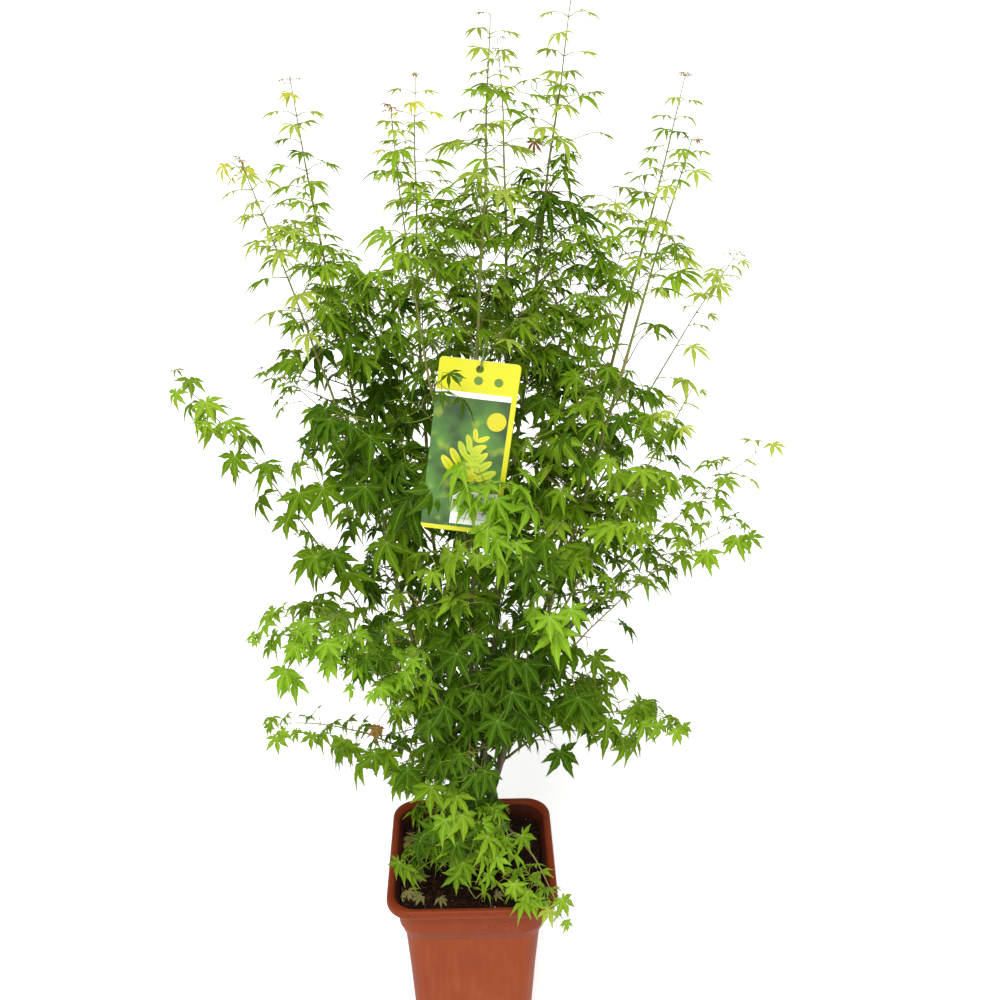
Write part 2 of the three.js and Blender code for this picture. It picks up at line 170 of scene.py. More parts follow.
class Paint(Tree):
    """The node tree of one material."""

    def __init__(self, name):
        self.material = bpy.data.materials.new(name)
        self.material.use_nodes = True
        super().__init__(self.material.node_tree)
        self.tree.nodes.clear()

    def places(self, scale=(1.0, 1.0, 1.0)):
        """The piece's own coordinates, stretched."""
        coordinates = self.add("ShaderNodeTexCoord").outputs["Object"]
        return self.add("ShaderNodeMapping", None, {"Vector": coordinates, "Scale": scale}).outputs[0]

    def along(self, axis):
        coordinates = self.add("ShaderNodeTexCoord").outputs["Object"]
        return self.parts_of(coordinates)[axis]

    def parts_of(self, vector):
        """The x, y and z of a vector."""
        node = self.add("ShaderNodeSeparateXYZ", None, {0: vector})
        return [Value(self, output) for output in node.outputs]

    def attribute(self, name):
        node = self.add("ShaderNodeAttribute", {"attribute_name": name})
        return Value(self, node.outputs["Fac"])

    def noise(self, scale, vector=None, detail=3.0, roughness=0.55):
        vector = vector or self.places()
        sockets = {"Vector": vector, "Scale": scale, "Detail": detail, "Roughness": roughness}
        node = self.add("ShaderNodeTexNoise", None, sockets)
        return Value(self, node.outputs["Fac"])

    def cells(self, scale, vector=None):
        """The distance to the nearest of many scattered places."""
        node = self.add("ShaderNodeTexVoronoi", None, {"Vector": vector or self.places(), "Scale": scale})
        return Value(self, node.outputs["Distance"])

    def mix(self, share, first, second):
        """A mix of two colours."""
        sockets = {0: share}
        for index, colour in ((6, first), (7, second)):
            sockets[index] = colour if isinstance(colour, bpy.types.NodeSocket) else rgba(colour)
        return self.add("ShaderNodeMix", {"data_type": "RGBA"}, sockets).outputs[2]

    def bump(self, height, strength, distance):
        sockets = {"Height": height, "Strength": strength, "Distance": distance}
        return self.add("ShaderNodeBump", None, sockets).outputs[0]

    def finish(self, sockets, through=None, share=0.0):
        """Ends the tree in a Principled shader, mixed with light of the colour through from behind."""
        shader = self.add("ShaderNodeBsdfPrincipled", None, sockets).outputs[0]
        if through is not None:
            behind = self.add("ShaderNodeBsdfTranslucent", None, {"Color": through}).outputs[0]
            shader = self.add("ShaderNodeMixShader", None, {0: share, 1: shader, 2: behind}).outputs[0]
        self.add("ShaderNodeOutputMaterial", None, {"Surface": shader})
        return self.material


class Recipe(Tree):
    """A Geometry Nodes tree with named inputs, run once on an object to give a plain mesh."""

    def __init__(self, name):
        group = bpy.data.node_groups.new(name, "GeometryNodeTree")
        super().__init__(group)
        self.given = {}
        group.interface.new_socket("Geometry", in_out="INPUT", socket_type="NodeSocketGeometry")
        group.interface.new_socket("Geometry", in_out="OUTPUT", socket_type="NodeSocketGeometry")
        self.entry = self.add("NodeGroupInput")

    def ask(self, name, kind, value):
        """A named input of the tree, and the value that it is given."""
        item = self.tree.interface.new_socket(name, in_out="INPUT", socket_type=kind)
        self.given[item.identifier] = value
        return self.entry.outputs[name]

    def named(self, name, kind):
        return self.add("GeometryNodeInputNamedAttribute", {"data_type": kind}, {"Name": name}).outputs[0]

    def run(self, host, geometry, material):
        """Ends the tree in Realize Instances and Set Material, and turns the result into the host's mesh."""
        whole = self.add("GeometryNodeRealizeInstances", None, {0: geometry}).outputs[0]
        slot = self.ask("Material", "NodeSocketMaterial", material)
        painted = self.add("GeometryNodeSetMaterial", None, {"Geometry": whole, "Material": slot}).outputs[0]
        self.add("NodeGroupOutput", None, {0: painted})
        modifier = host.modifiers.new(self.tree.name, "NODES")
        modifier.node_group = self.tree
        for identifier, value in self.given.items():
            modifier[identifier] = value
        bake_modifiers(host)
        paint_all(host, material)
        return host


def rgba(colour):
    """A colour given as six hex digits, as linear numbers with alpha."""
    parts = [int(colour[i:i + 2], 16) / 255 for i in (0, 2, 4)]
    return tuple(p / 12.92 if p <= 0.04045 else ((p + 0.055) / 1.055) ** 2.4 for p in parts) + (1.0,)


# ---------------------------------------------------------------- meshes


def put_in_scene(name, data):
    """An object of this mesh, lamp or camera, in the scene."""
    thing = bpy.data.objects.new(name, data)
    bpy.context.scene.collection.objects.link(thing)
    return thing


def shade(piece, smooth=True):
    """Shades all of a piece's faces smooth or flat."""
    piece.data.polygons.foreach_set("use_smooth", [smooth] * len(piece.data.polygons))


def paint_all(piece, *materials):
    """Gives a piece these materials, in their order, and no others."""
    piece.data.materials.clear()
    for material in materials:
        piece.data.materials.append(material)


def make_piece(name, points, faces, material, smooth=True):
    """A piece of one material from its points and faces."""
    mesh = bpy.data.meshes.new(name)
    mesh.from_pydata([tuple(p) for p in points], [], [tuple(f) for f in faces])
    piece = put_in_scene(name, mesh)
    shade(piece, smooth)
    paint_all(piece, material)
    return piece


def bake_modifiers(piece):
    """Makes what a piece's modifiers give the piece's own mesh."""
    evaluated = piece.evaluated_get(bpy.context.evaluated_depsgraph_get())
    mesh = bpy.data.meshes.new_from_object(evaluated)
    piece.modifiers.clear()
    piece.data = mesh


def drop_attributes(piece, names):
    """Takes off the values that a piece was made with and no longer needs."""
    for name in names:
        if name in piece.data.attributes:
            piece.data.attributes.remove(piece.data.attributes[name])


def settle(piece, slot, *nodes):
    """Puts a finished piece on the plant's body, in the place of the CAD nodes that it stands for."""
    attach(piece, BODY)
    if nodes:
        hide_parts(*nodes)
    return piece


def face_outwards(piece):
    """Merges points that lie together and turns all faces outwards."""
    shape = bmesh.new()
    shape.from_mesh(piece.data)
    bmesh.ops.remove_doubles(shape, verts=shape.verts, dist=1e-6)
    bmesh.ops.recalc_face_normals(shape, faces=shape.faces)
    shape.to_mesh(piece.data)
    shape.free()


def join_parts(parts):
    """Several (points, faces) as one."""
    points, faces, start = [], [], 0
    for some_points, some_faces in parts:
        points.extend(some_points)
        faces.extend([tuple(i + start for i in face) for face in some_faces])
        start += len(some_points)
    return points, faces


def skin_rings(rings):
    """Faces between rings of points and over both ends. The rings are an array of (rings, points, 3)."""
    rings = np.array(rings)
    count, around = rings.shape[:2]
    faces = []
    for ring in range(count - 1):
        low, high = ring * around, (ring + 1) * around
        for i in range(around):
            j = (i + 1) % around
            faces.append((low + i, low + j, high + j, high + i))
    faces.append(tuple(reversed(range(around))))
    faces.append(tuple(range((count - 1) * around, count * around)))
    return rings.reshape(-1, 3), faces


def circle(x, y, z, radius):
    """A level ring of points."""
    turns = np.linspace(0, 2 * math.pi, 28, endpoint=False)
    return [(x + radius * math.cos(turn), y + radius * math.sin(turn), z) for turn in turns]


def distances(path):
    """The length of a path up to each of its points."""
    return np.concatenate([[0], np.cumsum(np.linalg.norm(np.diff(path, axis=0), axis=1))])


def unit(vector):
    """A vector at length 1."""
    return vector / max(np.linalg.norm(vector), 1e-9)


def turned(vector, axis, angle):
    """A vector turned about an axis of length 1."""
    return (vector * math.cos(angle) + np.cross(axis, vector) * math.sin(angle)
            + axis * np.dot(axis, vector) * (1 - math.cos(angle)))


def square_to(along):
    """Two directions square to a direction and to each other, the first of them level."""
    level = np.cross(along, UP)
    level = unit(level) if np.linalg.norm(level) > 1e-3 else np.array([1.0, 0.0, 0.0])
    return level, np.cross(level, along)


def rough(point, scale, seed=0.0):
    """Smooth noise between about -1 and 1 at a point."""
    return noise.noise(Vector(point) * scale + Vector((seed, 1.7 * seed, -seed)))


# ---------------------------------------------------------------- limbs read from the CAD

CUTS = 9  # cuts across a stem or bough that its path is read from
SHOOT_CUTS = 7  # cuts across the shoot of leaves at its end
AIM = 0.006  # a limb's direction is taken over this length before and after a point
TIP_RADIUS = 0.45 * MM
# How thick the wood is against the CAD limbs, at these heights: it is slimmest low in the crown.
SLIM_HEIGHTS, SLIM_SHARES = (0.34, 0.6, 1.1), (1.0, 0.66, 0.82)


def node_shape(name):
    """The points and edges of a CAD node."""
    mesh = frame["nodes"][name].data
    points = np.empty(len(mesh.vertices) * 3)
    mesh.vertices.foreach_get("co", points)
    edges = np.empty(len(mesh.edges) * 2, int)
    mesh.edges.foreach_get("vertices", edges)
    return points.reshape(-1, 3), edges.reshape(-1, 2)


def cut_line(name, near, count):
    """The centres and radii of cuts across a long node, from the end nearest a point, and its far end."""
    points, edges = node_shape(name)
    along = np.linalg.svd(points - points.mean(0), full_matrices=False)[2][0]
    heights = points @ along
    ends = points[heights.argmin()], points[heights.argmax()]
    if np.linalg.norm(ends[0] - near) > np.linalg.norm(ends[1] - near):
        heights = -heights
    low, high = heights.min(), heights.max()
    centres, radii = [], []
    for share in np.linspace(0.04, 0.96, count):
        level = low + share * (high - low)
        first, second = heights[edges[:, 0]] - level, heights[edges[:, 1]] - level
        crossed = first * second < 0
        a, b = points[edges[crossed, 0]], points[edges[crossed, 1]]
        met = a + (b - a) * (first[crossed] / (first[crossed] - second[crossed]))[:, None]
        centre = (met.min(0) + met.max(0)) / 2
        centres.append(centre)
        radii.append(np.linalg.norm(met - centre, axis=1).mean())
    return np.array(centres), np.array(radii), points[heights.argmax()]


class Limb:
    """A limb's path to its tip, evenly spaced, with its radius along it."""

    def __init__(self, name, points, radii, wood):
        self.name = name
        self.points = points
        self.radii = radii
        self.reach = distances(points)
        self.length = self.reach[-1]
        self.wood = wood  # length up to where the limb enters its shoot of leaves

    def point_at(self, distance):
        return np.array([np.interp(distance, self.reach, self.points[:, i]) for i in range(3)])

    def at(self, distance):
        """The point, direction and radius at a distance along the limb."""
        place = min(max(distance, 0.0), self.length)
        before = self.point_at(max(place - AIM, 0.0))
        after = self.point_at(min(place + AIM, self.length))
        return self.point_at(place), unit(after - before), float(np.interp(place, self.reach, self.radii))


def smooth_path(points, spacing, rounds):
    """A path with even spacing and its corners worn off, whose ends stay."""
    for _ in range(2):
        steps = distances(points)
        count = max(4, int(round(steps[-1] / spacing)))
        even = np.linspace(0, steps[-1], count + 1)
        points = np.stack([np.interp(even, steps, points[:, i]) for i in range(3)], 1)
        for _ in range(rounds):
            points[1:-1] = (points[:-2] + 2 * points[1:-1] + points[2:]) / 4
    return points


def sway(points, size, seed):
    """A path pushed a little to and fro, most in its middle, as real wood grows."""
    share = np.linspace(0, 1, len(points))
    fade = np.sin(np.pi * np.clip(share * 1.6, 0, 1)) ** 0.5 * np.clip((1 - share) * 4, 0, 1)
    moved = points.copy()
    for i, point in enumerate(points):
        place = i * 0.045
        push = [noise.noise(Vector((place, seed, layer))) for layer in (0, 9.0)]
        moved[i] = point + size * fade[i] * np.array([*push, 0])
    return moved


def read_limb(node, near, start, seed):
    """A limb from its CAD solid and on through its shoot of leaves to the shoot's far tip."""
    name = node.split("_", 1)[1]
    centres, radii, _ = cut_line(node, near, CUTS)
    shoot, _, tip = cut_line(f"foliage_{name}_shoot", centres[-1], SHOOT_CUTS)
    beyond = [p for p in shoot if np.dot(p - centres[-1], centres[-1] - centres[-3]) > 0]
    path = smooth_path(np.vstack([start, centres, *beyond, tip]), 4 * MM, 3)
    path = sway(path, 5 * MM, seed)
    reach = distances(path)
    wood_end = reach[np.linalg.norm(path - centres[-1], axis=1).argmin()]
    wood = np.interp(reach, [0, wood_end], [radii[0] * 1.08, radii[-1] * 1.05])
    beyond_share = np.clip((reach - wood_end) / (reach[-1] - wood_end), 0, 1)
    slimming = np.interp(path[:, 2], SLIM_HEIGHTS, SLIM_SHARES)
    thickness = (wood + (TIP_RADIUS - wood) * beyond_share ** 0.8) * slimming
    return Limb(name, path, thickness, wood_end)


def nearest(points, place):
    """The one of some points that lies nearest a place."""
    return points[np.linalg.norm(points - place, axis=1).argmin()]


def read_limbs():
    """All stems, from the trunk's head, and all boughs, from their stems."""
    low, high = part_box("trunk")
    head = np.array([(low.x + high.x) / 2, (low.y + high.y) / 2, high.z])
    stems = {}
    for number, node in enumerate(STEM_NODES):
        foot, above = cut_line(node, head, CUTS)[0][:2]
        start = foot - (above - foot) * (foot[2] - head[2] + 12 * MM) / (above[2] - foot[2])
        limb = read_limb(node, head, start, number)
        limb.radii = limb.radii * (1 + 0.45 * np.exp(-limb.reach / (22 * MM)))
        stems[limb.name] = limb
    boughs = {}
    for number, node in enumerate(BOUGH_NODES):
        foot = cut_line(node, head, CUTS)[0][0]
        joints = [nearest(stem.points, foot) for stem in stems.values()]
        start = nearest(np.array(joints), foot)
        limb = read_limb(node, head, start, 20 + number)
        boughs[limb.name] = limb
    return stems, boughs


STEMS, BOUGHS = read_limbs()


class Crown:
    """Tells where a point lies in the masses of foliage that the leaves and twigs stand for."""

    def __init__(self):
        points, faces, self.owners = [], [], []
        for name in FOLIAGE_NODES:
            mesh = frame["nodes"][name].data
            start = len(points)
            points.extend(v.co.copy() for v in mesh.vertices)
            for polygon in mesh.polygons:
                faces.append([start + i for i in polygon.vertices])
                self.owners.append(name)
        self.surface = BVHTree.FromPolygons(points, faces)

    def depth(self, point):
        """How far inside the nearest mass a point lies, below 0 outside, and that mass's name."""
        spot, normal, index, distance = self.surface.find_nearest(Vector(point))
        inside = (Vector(point) - spot).dot(normal) < 0
        return (distance if inside else -distance), self.owners[index]


CROWN = Crown()


# ---------------------------------------------------------------- materials


def paint_bark():
    """Grey-brown at the foot, olive and then reddish green where the wood is young."""
    paint = Paint("maple_bark")
    young = paint.attribute("young")
    streaks = paint.noise(1.0, paint.places((420, 420, 60)), 4)
    old = paint.mix(streaks.mask(0.3, 0.7), "32261A", "5E5236")
    fresh = paint.mix(paint.noise(45).mask(0.35, 0.7), "64762A", "7A6E34")
    colour = paint.mix(young.mask(0.15, 0.75), old, fresh)
    colour = paint.mix(paint.along(2).mask(0.3, 0.25) * 0.6, colour, "2E2012")
    marks = paint.cells(1.0, paint.places((900, 900, 330))).mask(0.16, 0.05)
    colour = paint.mix(marks * (1 - young) * 0.5, colour, "8C7E5C")
    height = streaks + marks * 0.5
    return paint.finish({
        "Base Color": colour,
        "Roughness": 0.62 + 0.2 * streaks,
        "Normal": paint.bump(height, 0.5, 0.6 * MM),
    })


def paint_twig(name, pale, ruddy):
    """Thin green wood, flushed with red in places."""
    paint = Paint(name)
    flush = paint.noise(38, None, 2).mask(0.42, 0.66)
    colour = paint.mix(flush, pale, ruddy)
    colour = paint.mix(paint.noise(900).mask(0.5, 0.8) * 0.25, colour, "C4C47E")
    return paint.finish({"Base Color": colour, "Roughness": 0.5, "Specular IOR Level": 0.2})


def paint_leaf(name, blade, shade, edge, vein, tip, through, share):
    """A leaf's colours from its own map: tone by leaf, painted shade along the lobes' margins, ribs along
    each lobe, a pale centre that is partly a painted highlight, tinted tips.
    """
    paint = Paint(name)
    flat = paint.add("ShaderNodeUVMap", {"uv_map": LEAF_MAP}).outputs[0]
    u, v = (part * LEAF_TILES for part in paint.parts_of(flat)[:2])
    column, row = u.floor(), v.floor()
    across, along = abs(u - column - 0.5) * 2, v - row
    tile = {0: (column + 0.5).socket, 1: (row + 0.5).socket}
    seed = paint.add("ShaderNodeCombineXYZ", None, tile).outputs[0]
    white = paint.add("ShaderNodeTexWhiteNoise", {"noise_dimensions": "3D"}, {"Vector": seed})
    tone = Value(paint, white.outputs["Value"])
    mottle = paint.noise(34, flat, 3)
    colour = paint.mix(tone * 0.75 + mottle * 0.5 - 0.12, blade, shade)
    # Painted shade: the lobes' margins are darkened towards the edge colour.
    colour = paint.mix(across.mask(0.55, 0.88) * 0.35, colour, edge)
    side_veins = ((along * 9 - across * 2.2) * math.pi * 2).sine().mask(0.9, 1.0) * across.mask(1.0, 0.1)
    rib = across.mask(0.11, 0.03)
    colour = paint.mix(side_veins * 0.26, colour, vein)
    colour = paint.mix(rib * 0.6, colour, vein)
    # The pale centre where the ribs meet, round the stalk's end, is partly a painted highlight.
    colour = paint.mix(along.mask(0.14, 0.04) * 0.6, colour, vein)
    colour = paint.mix(along.mask(0.8, 1.0) * (0.35 + tone * 0.5), colour, tip)
    back = paint.mix(mottle, through, blade)
    sockets = {"Base Color": colour, "Roughness": 0.42 + 0.16 * mottle, "Specular IOR Level": 0.06}
    return paint.finish(sockets, back, share)


def paint_pot():
    """Satin moulded plastic with worn edges, and dirt splashed on its rim and collar."""
    paint = Paint("pot_outside")
    height = paint.along(2)
    grain = paint.noise(620, None, 2)
    clouds = paint.noise(9, None, 3)
    colour = paint.mix(clouds.mask(0.3, 0.7), "7B300A", "84370A")
    streaks = paint.noise(140, paint.places((1, 1, 0.08)), 3).mask(0.5, 0.75)
    colour = paint.mix(streaks * 0.25, colour, "A14F2A")
    specks = paint.cells(170).mask(0.2, 0.12) * paint.noise(30, None, 2).mask(0.5, 0.56)
    upper = height.mask(0.185, 0.215)
    dirt = specks * (0.15 + upper * 0.75)
    dust = paint.noise(16, None, 4).mask(0.5, 0.75) * height.mask(0.12, 0.0) * 0.3
    # Darker bands over the collar and the rim: partly the plastic's own deeper tone there, partly painted
    # shade of the band under the rim.
    for low, high, share in ((0.186, 0.19, 0.35), (0.226, 0.234, 0.4)):
        colour = paint.mix(height.mask(low, high) * share, colour, "6A2304")
    colour = paint.mix(dirt, colour, "2A160C")
    colour = paint.mix(dust, colour, "B98A70")
    return paint.finish({
        "Base Color": colour,
        "Roughness": 0.46 + 0.12 * clouds + dirt * 0.3,
        "Specular IOR Level": 0.16,
        "Normal": paint.bump(grain, 0.12, 0.3 * MM),
    })


def paint_inner_pot():
    """The pot's inner face, a darker copy of the pot's plastic: partly water stains, partly painted shade.
    """
    paint = Paint("pot_inside")
    stain = paint.noise(22, paint.places((1, 1, 0.5)), 4).mask(0.35, 0.7)
    colour = paint.mix(stain, "561C0A", "351006")
    # Painted shade: the inner face darkens towards near black below the rim, deeper in the pot.
    colour = paint.mix(paint.along(2).mask(0.246, 0.228) * 0.75, colour, "160603")
    return paint.finish({"Base Color": colour, "Roughness": 0.5 + 0.3 * stain, "Specular IOR Level": 0.15})


def paint_soil(name, dark, light, grain):
    """Soil and the bits in it: hollows darkened as painted shade, and paler grains."""
    paint = Paint(name)
    clods = paint.noise(grain, None, 5, 0.7)
    fine = paint.noise(grain * 6, None, 3)
    # Painted shade: the bump's hollows take the dark colour, its raised parts the paler one.
    colour = paint.mix(clods.mask(0.32, 0.68), dark, light)
    height = clods + fine * 0.4
    return paint.finish({
        "Base Color": colour,
        "Roughness": 0.8 + 0.15 * fine,
        "Specular IOR Level": 0.12,
        "Normal": paint.bump(height, 0.6, 1.2 * MM),
    })


LABEL_YELLOW = "C8C506"
# The sprigs on the label: their feet, reach, lean and pairs of leaflets. The label is 1 wide here.
SPRIGS = ((0.3, 0.66, 0.62, 0.45, 5), (0.62, 0.62, 0.42, -0.1, 4))


def label_leaflets():
    """The leaflets of the label's two sprigs: centre, size and direction."""
    leaflets = []
    for foot_x, foot_y, reach, lean, count in SPRIGS:
        for step in range(count):
            share = step / (count - 1)
            place_x = foot_x + reach * (0.2 + 0.8 * share) * math.sin(lean)
            place_y = foot_y + reach * (0.2 + 0.8 * share) * math.cos(lean)
            size = 0.15 * (1 - 0.4 * share)
            for side in (-1, 1):
                way = lean + side * (1.15 - 0.5 * share)
                leaflets.append((place_x + size * math.sin(way), place_y + size * math.cos(way), size, way))
    return leaflets


def paint_label():
    """A printed card: a yellow heading, a green picture field with a plain motif and a white panel."""
    paint = Paint("label_print")
    flat = paint.add("ShaderNodeUVMap", {"uv_map": "print"}).outputs[0]
    x, y = paint.parts_of(flat)[:2]

    def disc(cx, cy, width, height, turn=0.0, edge=0.012):
        c, s = math.cos(turn), math.sin(turn)
        across = ((x - cx) * c + (y - cy) * s) / width
        along = ((y - cy) * c - (x - cx) * s) / height
        return (across * across + along * along).mask(1 + edge, 1 - edge)

    def between(place, low, high, soft=0.002):
        return place.mask(low - soft, low + soft) * place.mask(high + soft, high - soft)

    def box(left, right, low, high):
        return between(x, left, right) * between(y, low, high)

    blur = paint.noise(2.4, flat, 2)
    field = paint.mix(blur.mask(0.35, 0.65), "22400F", "4F8426")
    colour = paint.mix(paint.noise(5, flat, 1).mask(0.55, 0.7) * 0.6, field, "93A124")
    colour = paint.mix(y.mask(1.5, 1.8) * 0.6, colour, "16240C")
    for cx, cy, size, way in label_leaflets():
        leaflet = disc(cx, cy, size * 0.36, size * 0.95, -way, 0.06)
        yellows = paint.mix(((x + y) * 9).sine().mask(-1, 1), "CEC612", "A9BC1C")
        colour = paint.mix(leaflet, colour, yellows)
        rib = disc(cx, cy, size * 0.045, size * 0.9, -way, 0.3)
        colour = paint.mix(rib * 0.6, colour, "7F9E1A")
    colour = paint.mix(disc(0.79, 1.5, 0.12, 0.12), colour, "C4BA08")
    colour = paint.mix(box(0.36, 0.93, 0.1, 0.55), colour, "F6F6EE")
    for row in range(4):
        line = box(0.42, 0.88 - 0.08 * (row % 3), 0.17 + row * 0.09, 0.188 + row * 0.09)
        colour = paint.mix(line * 0.5, colour, "9AA09A")
    colour = paint.mix(between(y, 1.77, 1.84), colour, "F8F8F4")
    colour = paint.mix(y.mask(1.838, 1.842), colour, LABEL_YELLOW)
    for cx in (0.25, 0.5, 0.75):
        colour = paint.mix(disc(cx, 2.0, 0.055, 0.055), colour, "5A7C1C")
    colour = paint.mix(y.mask(0.062, 0.058), colour, LABEL_YELLOW)
    colour = paint.mix(x.mask(0.932, 0.936), colour, LABEL_YELLOW)
    grain = paint.noise(900, None, 2)
    return paint.finish({
        "Base Color": colour,
        "Roughness": 0.3 + 0.1 * grain,
        "Coat Weight": 0.1 + 0.1 * grain,
    })


def paint_card_back():
    """The label's unprinted back and rim."""
    paint = Paint("label_back")
    colour = paint.mix(paint.noise(60, None, 3), "E9E7DC", "F4F3EC")
    return paint.finish({"Base Color": colour, "Roughness": 0.4 + 0.1 * paint.noise(300)})


def paint_cord():
    """The green cord of the label's loop."""
    paint = Paint("green_cord")
    colour = paint.mix(paint.noise(500, None, 3), "3F5A2E", "6B7F4E")
    return paint.finish({"Base Color": colour, "Roughness": 0.45 + 0.2 * paint.noise(240)})


# Leaf tints. The deep tint is partly the colour of older leaves and partly painted shade for the inner and
# lower crown; the bright tint is partly painted light for leaves out in the light. A tint's edge colour is
# painted shade along the lobes' margins; its shade colour is a second tone dealt at random by leaf.
TINTS = {
    "deep": dict(blade="446405", shade="2A4803", edge="1E3802", vein="7E9C3C",
                 tip="52600F", through="527A04", share=0.18),
    "green": dict(blade="668808", shade="486806", edge="365402", vein="A8BC5C",
                  tip="7C7C1E", through="80A60A", share=0.24),
    "bright": dict(blade="82A41E", shade="648610", edge="4E6E08", vein="BCCE6E",
                   tip="92902C", through="96BA1A", share=0.28),
    "lime": dict(blade="82AA1E", shade="648E0E", edge="507A08", vein="C0D680",
                 tip="9CA232", through="9CC622", share=0.28),
    "spring": dict(blade="A6B63E", shade="7E9A2A", edge="668018", vein="D2DA92",
                   tip="B8A44C", through="B2C236", share=0.3),
    "gold": dict(blade="CCCA42", shade="A2AC2E", edge="A09A26", vein="EAE296",
                 tip="CC8E30", through="E0D842", share=0.36),
    "bronze": dict(blade="9A7A34", shade="643E20", edge="5A3018", vein="C8AA74",
                   tip="5A2A16", through="A8762E", share=0.2),
    "dry": dict(blade="7E7C48", shade="5E4E2A", edge="54421E", vein="A09A68",
                tip="5A3E22", through="7E7440", share=0.1),
}


# ---------------------------------------------------------------- leaf shapes

# Lobes of a blade: direction from the middle lobe, length, and half the width at its widest.
LOBES = ((0, 1.0, 0.165), (43, 0.94, 0.16), (-43, 0.94, 0.16), (88, 0.74, 0.13), (-88, 0.74, 0.13))
SMALL_LOBES = ((128, 0.34, 0.08), (-128, 0.34, 0.08))
# One edge of a lobe, toothed: share of its half width, share of its length.
EDGE = ((0.7, 0.33), (0.96, 0.45), (0.84, 0.52), (0.78, 0.62), (0.5, 0.68), (0.3, 0.82), (0.0, 1.0))
FORMS = 10  # the first half are broad and hang, the rest are the slender flat ones of young shoots
# A blade's own map: the height of its stalk end, the length of a lobe, and where the sinuses lie across it.
MAP_FOOT, MAP_LENGTH, MAP_SINUS = 0.08, 0.84, 0.94
MAP_MARGIN = 0.05  # the map stays this far from the edges of its tile


def make_form(number, chance):
    """One form of a maple blade: stalk end at the origin, middle lobe 1 long on +Y, upper face to +Z."""
    young = number >= FORMS // 2
    droop = (0.14 if young else 0.13) + 0.26 * chance.random()
    fold = (0.3 if young else 0.28) + 0.34 * chance.random()
    spread = (0.8 if young else 0.92) + 0.14 * chance.random()
    slim = 0.68 if young else 1.0
    points, faces, maps = [], [], []

    def place(angle, across, along, curl, lean):
        side = across + lean * along * along
        x = side * math.cos(angle) + along * math.sin(angle)
        y = -side * math.sin(angle) + along * math.cos(angle)
        z = fold * abs(across) - droop * curl * along * along
        points.append((x, y, z))
        maps.append((0.5 + 0.45 * np.sign(across), MAP_FOOT + MAP_LENGTH * along))
        return len(points) - 1

    middle = place(0, 0, 0, 0, 0)
    order = sorted(LOBES if young else LOBES + SMALL_LOBES)
    angles = [math.radians(lobe[0] * spread + chance.uniform(-4, 4)) for lobe in order]
    sinus = []
    for first, second in zip(angles[:-1], angles[1:]):
        outer = max(abs(first), abs(second)) > math.radians(95)
        depth = (0.12 if outer else 0.25 * slim) * chance.uniform(0.9, 1.1)
        sinus.append(place((first + second) / 2, 0, depth, 1, 0))
        maps[sinus[-1]] = (MAP_SINUS, MAP_FOOT + MAP_LENGTH * depth)
    ends = []
    for angle, side in ((angles[0], -1), (angles[-1], 1)):
        ends.append(place(angle + side * 0.35, 0, 0.09, 1, 0))
        maps[ends[-1]] = (MAP_SINUS, 0.16)
    for index, ((_, length, width), angle) in enumerate(zip(order, angles)):
        length *= chance.uniform(0.93, 1.05)
        width *= slim
        curl, lean = chance.uniform(0.6, 2.0) / length ** 0.5, chance.uniform(-0.16, 0.16)
        roots = {-1: sinus[index - 1] if index else ends[0],
                 1: sinus[index] if index < len(sinus) else ends[1]}
        small = length < 0.4
        edge = ((0.9, 0.55), (0.0, 1.0)) if small else EDGE
        ribs = (0.55,) if small else (0.38, 0.58, 0.78)
        rib = [place(angle, 0, share * length, curl, lean) for share in ribs]
        tip = place(angle, 0, length, curl, lean)
        for side in (-1, 1):
            rim = [place(angle, side * width * w, length * v, curl, lean) for w, v in edge[:-1]]
            loops = [(middle, roots[side], rim[0], rib[0])]
            if small:
                loops.append((rib[0], rim[0], tip))
            else:
                loops.append((rib[0], rim[0], rim[1], rim[2], rib[1]))
                loops.append((rib[1], rim[2], rim[3], rim[4], rib[2]))
                loops.append((rib[2], rim[4], rim[5], tip))
            faces.extend(loop if side < 0 else tuple(reversed(loop)) for loop in loops)
    form = bpy.data.objects.new(f"form_{number}", bpy.data.meshes.new(f"form_{number}"))
    form.data.from_pydata(points, [], faces)
    flat = form.data.uv_layers.new(name=LEAF_MAP)
    for loop in form.data.loops:
        spot = [min(max(part, MAP_MARGIN), 1 - MAP_MARGIN) for part in maps[loop.vertex_index]]
        flat.data[loop.index].uv = (spot[0] / LEAF_TILES, spot[1] / LEAF_TILES)
    if sum(p.normal.z for p in form.data.polygons) < 0:
        form.data.flip_normals()
    return form


def make_forms(seed):
    """All forms of the blade, in a collection of their own."""
    chance = random.Random(seed)
    forms = bpy.data.collections.new("leaf_forms")
    for number in range(FORMS):
        forms.objects.link(make_form(number, chance))
    return forms


def drop_forms(forms):
    """Takes the forms out again when the leaves are made."""
    for form in list(forms.objects):
        bpy.data.objects.remove(form)
    bpy.data.collections.remove(forms)


# What each point of a piece of leaves carries for its leaf.
LEAF_FIELDS = {"turn": "FLOAT_VECTOR", "size": "FLOAT", "form": "INT", "tile": "FLOAT_VECTOR"}


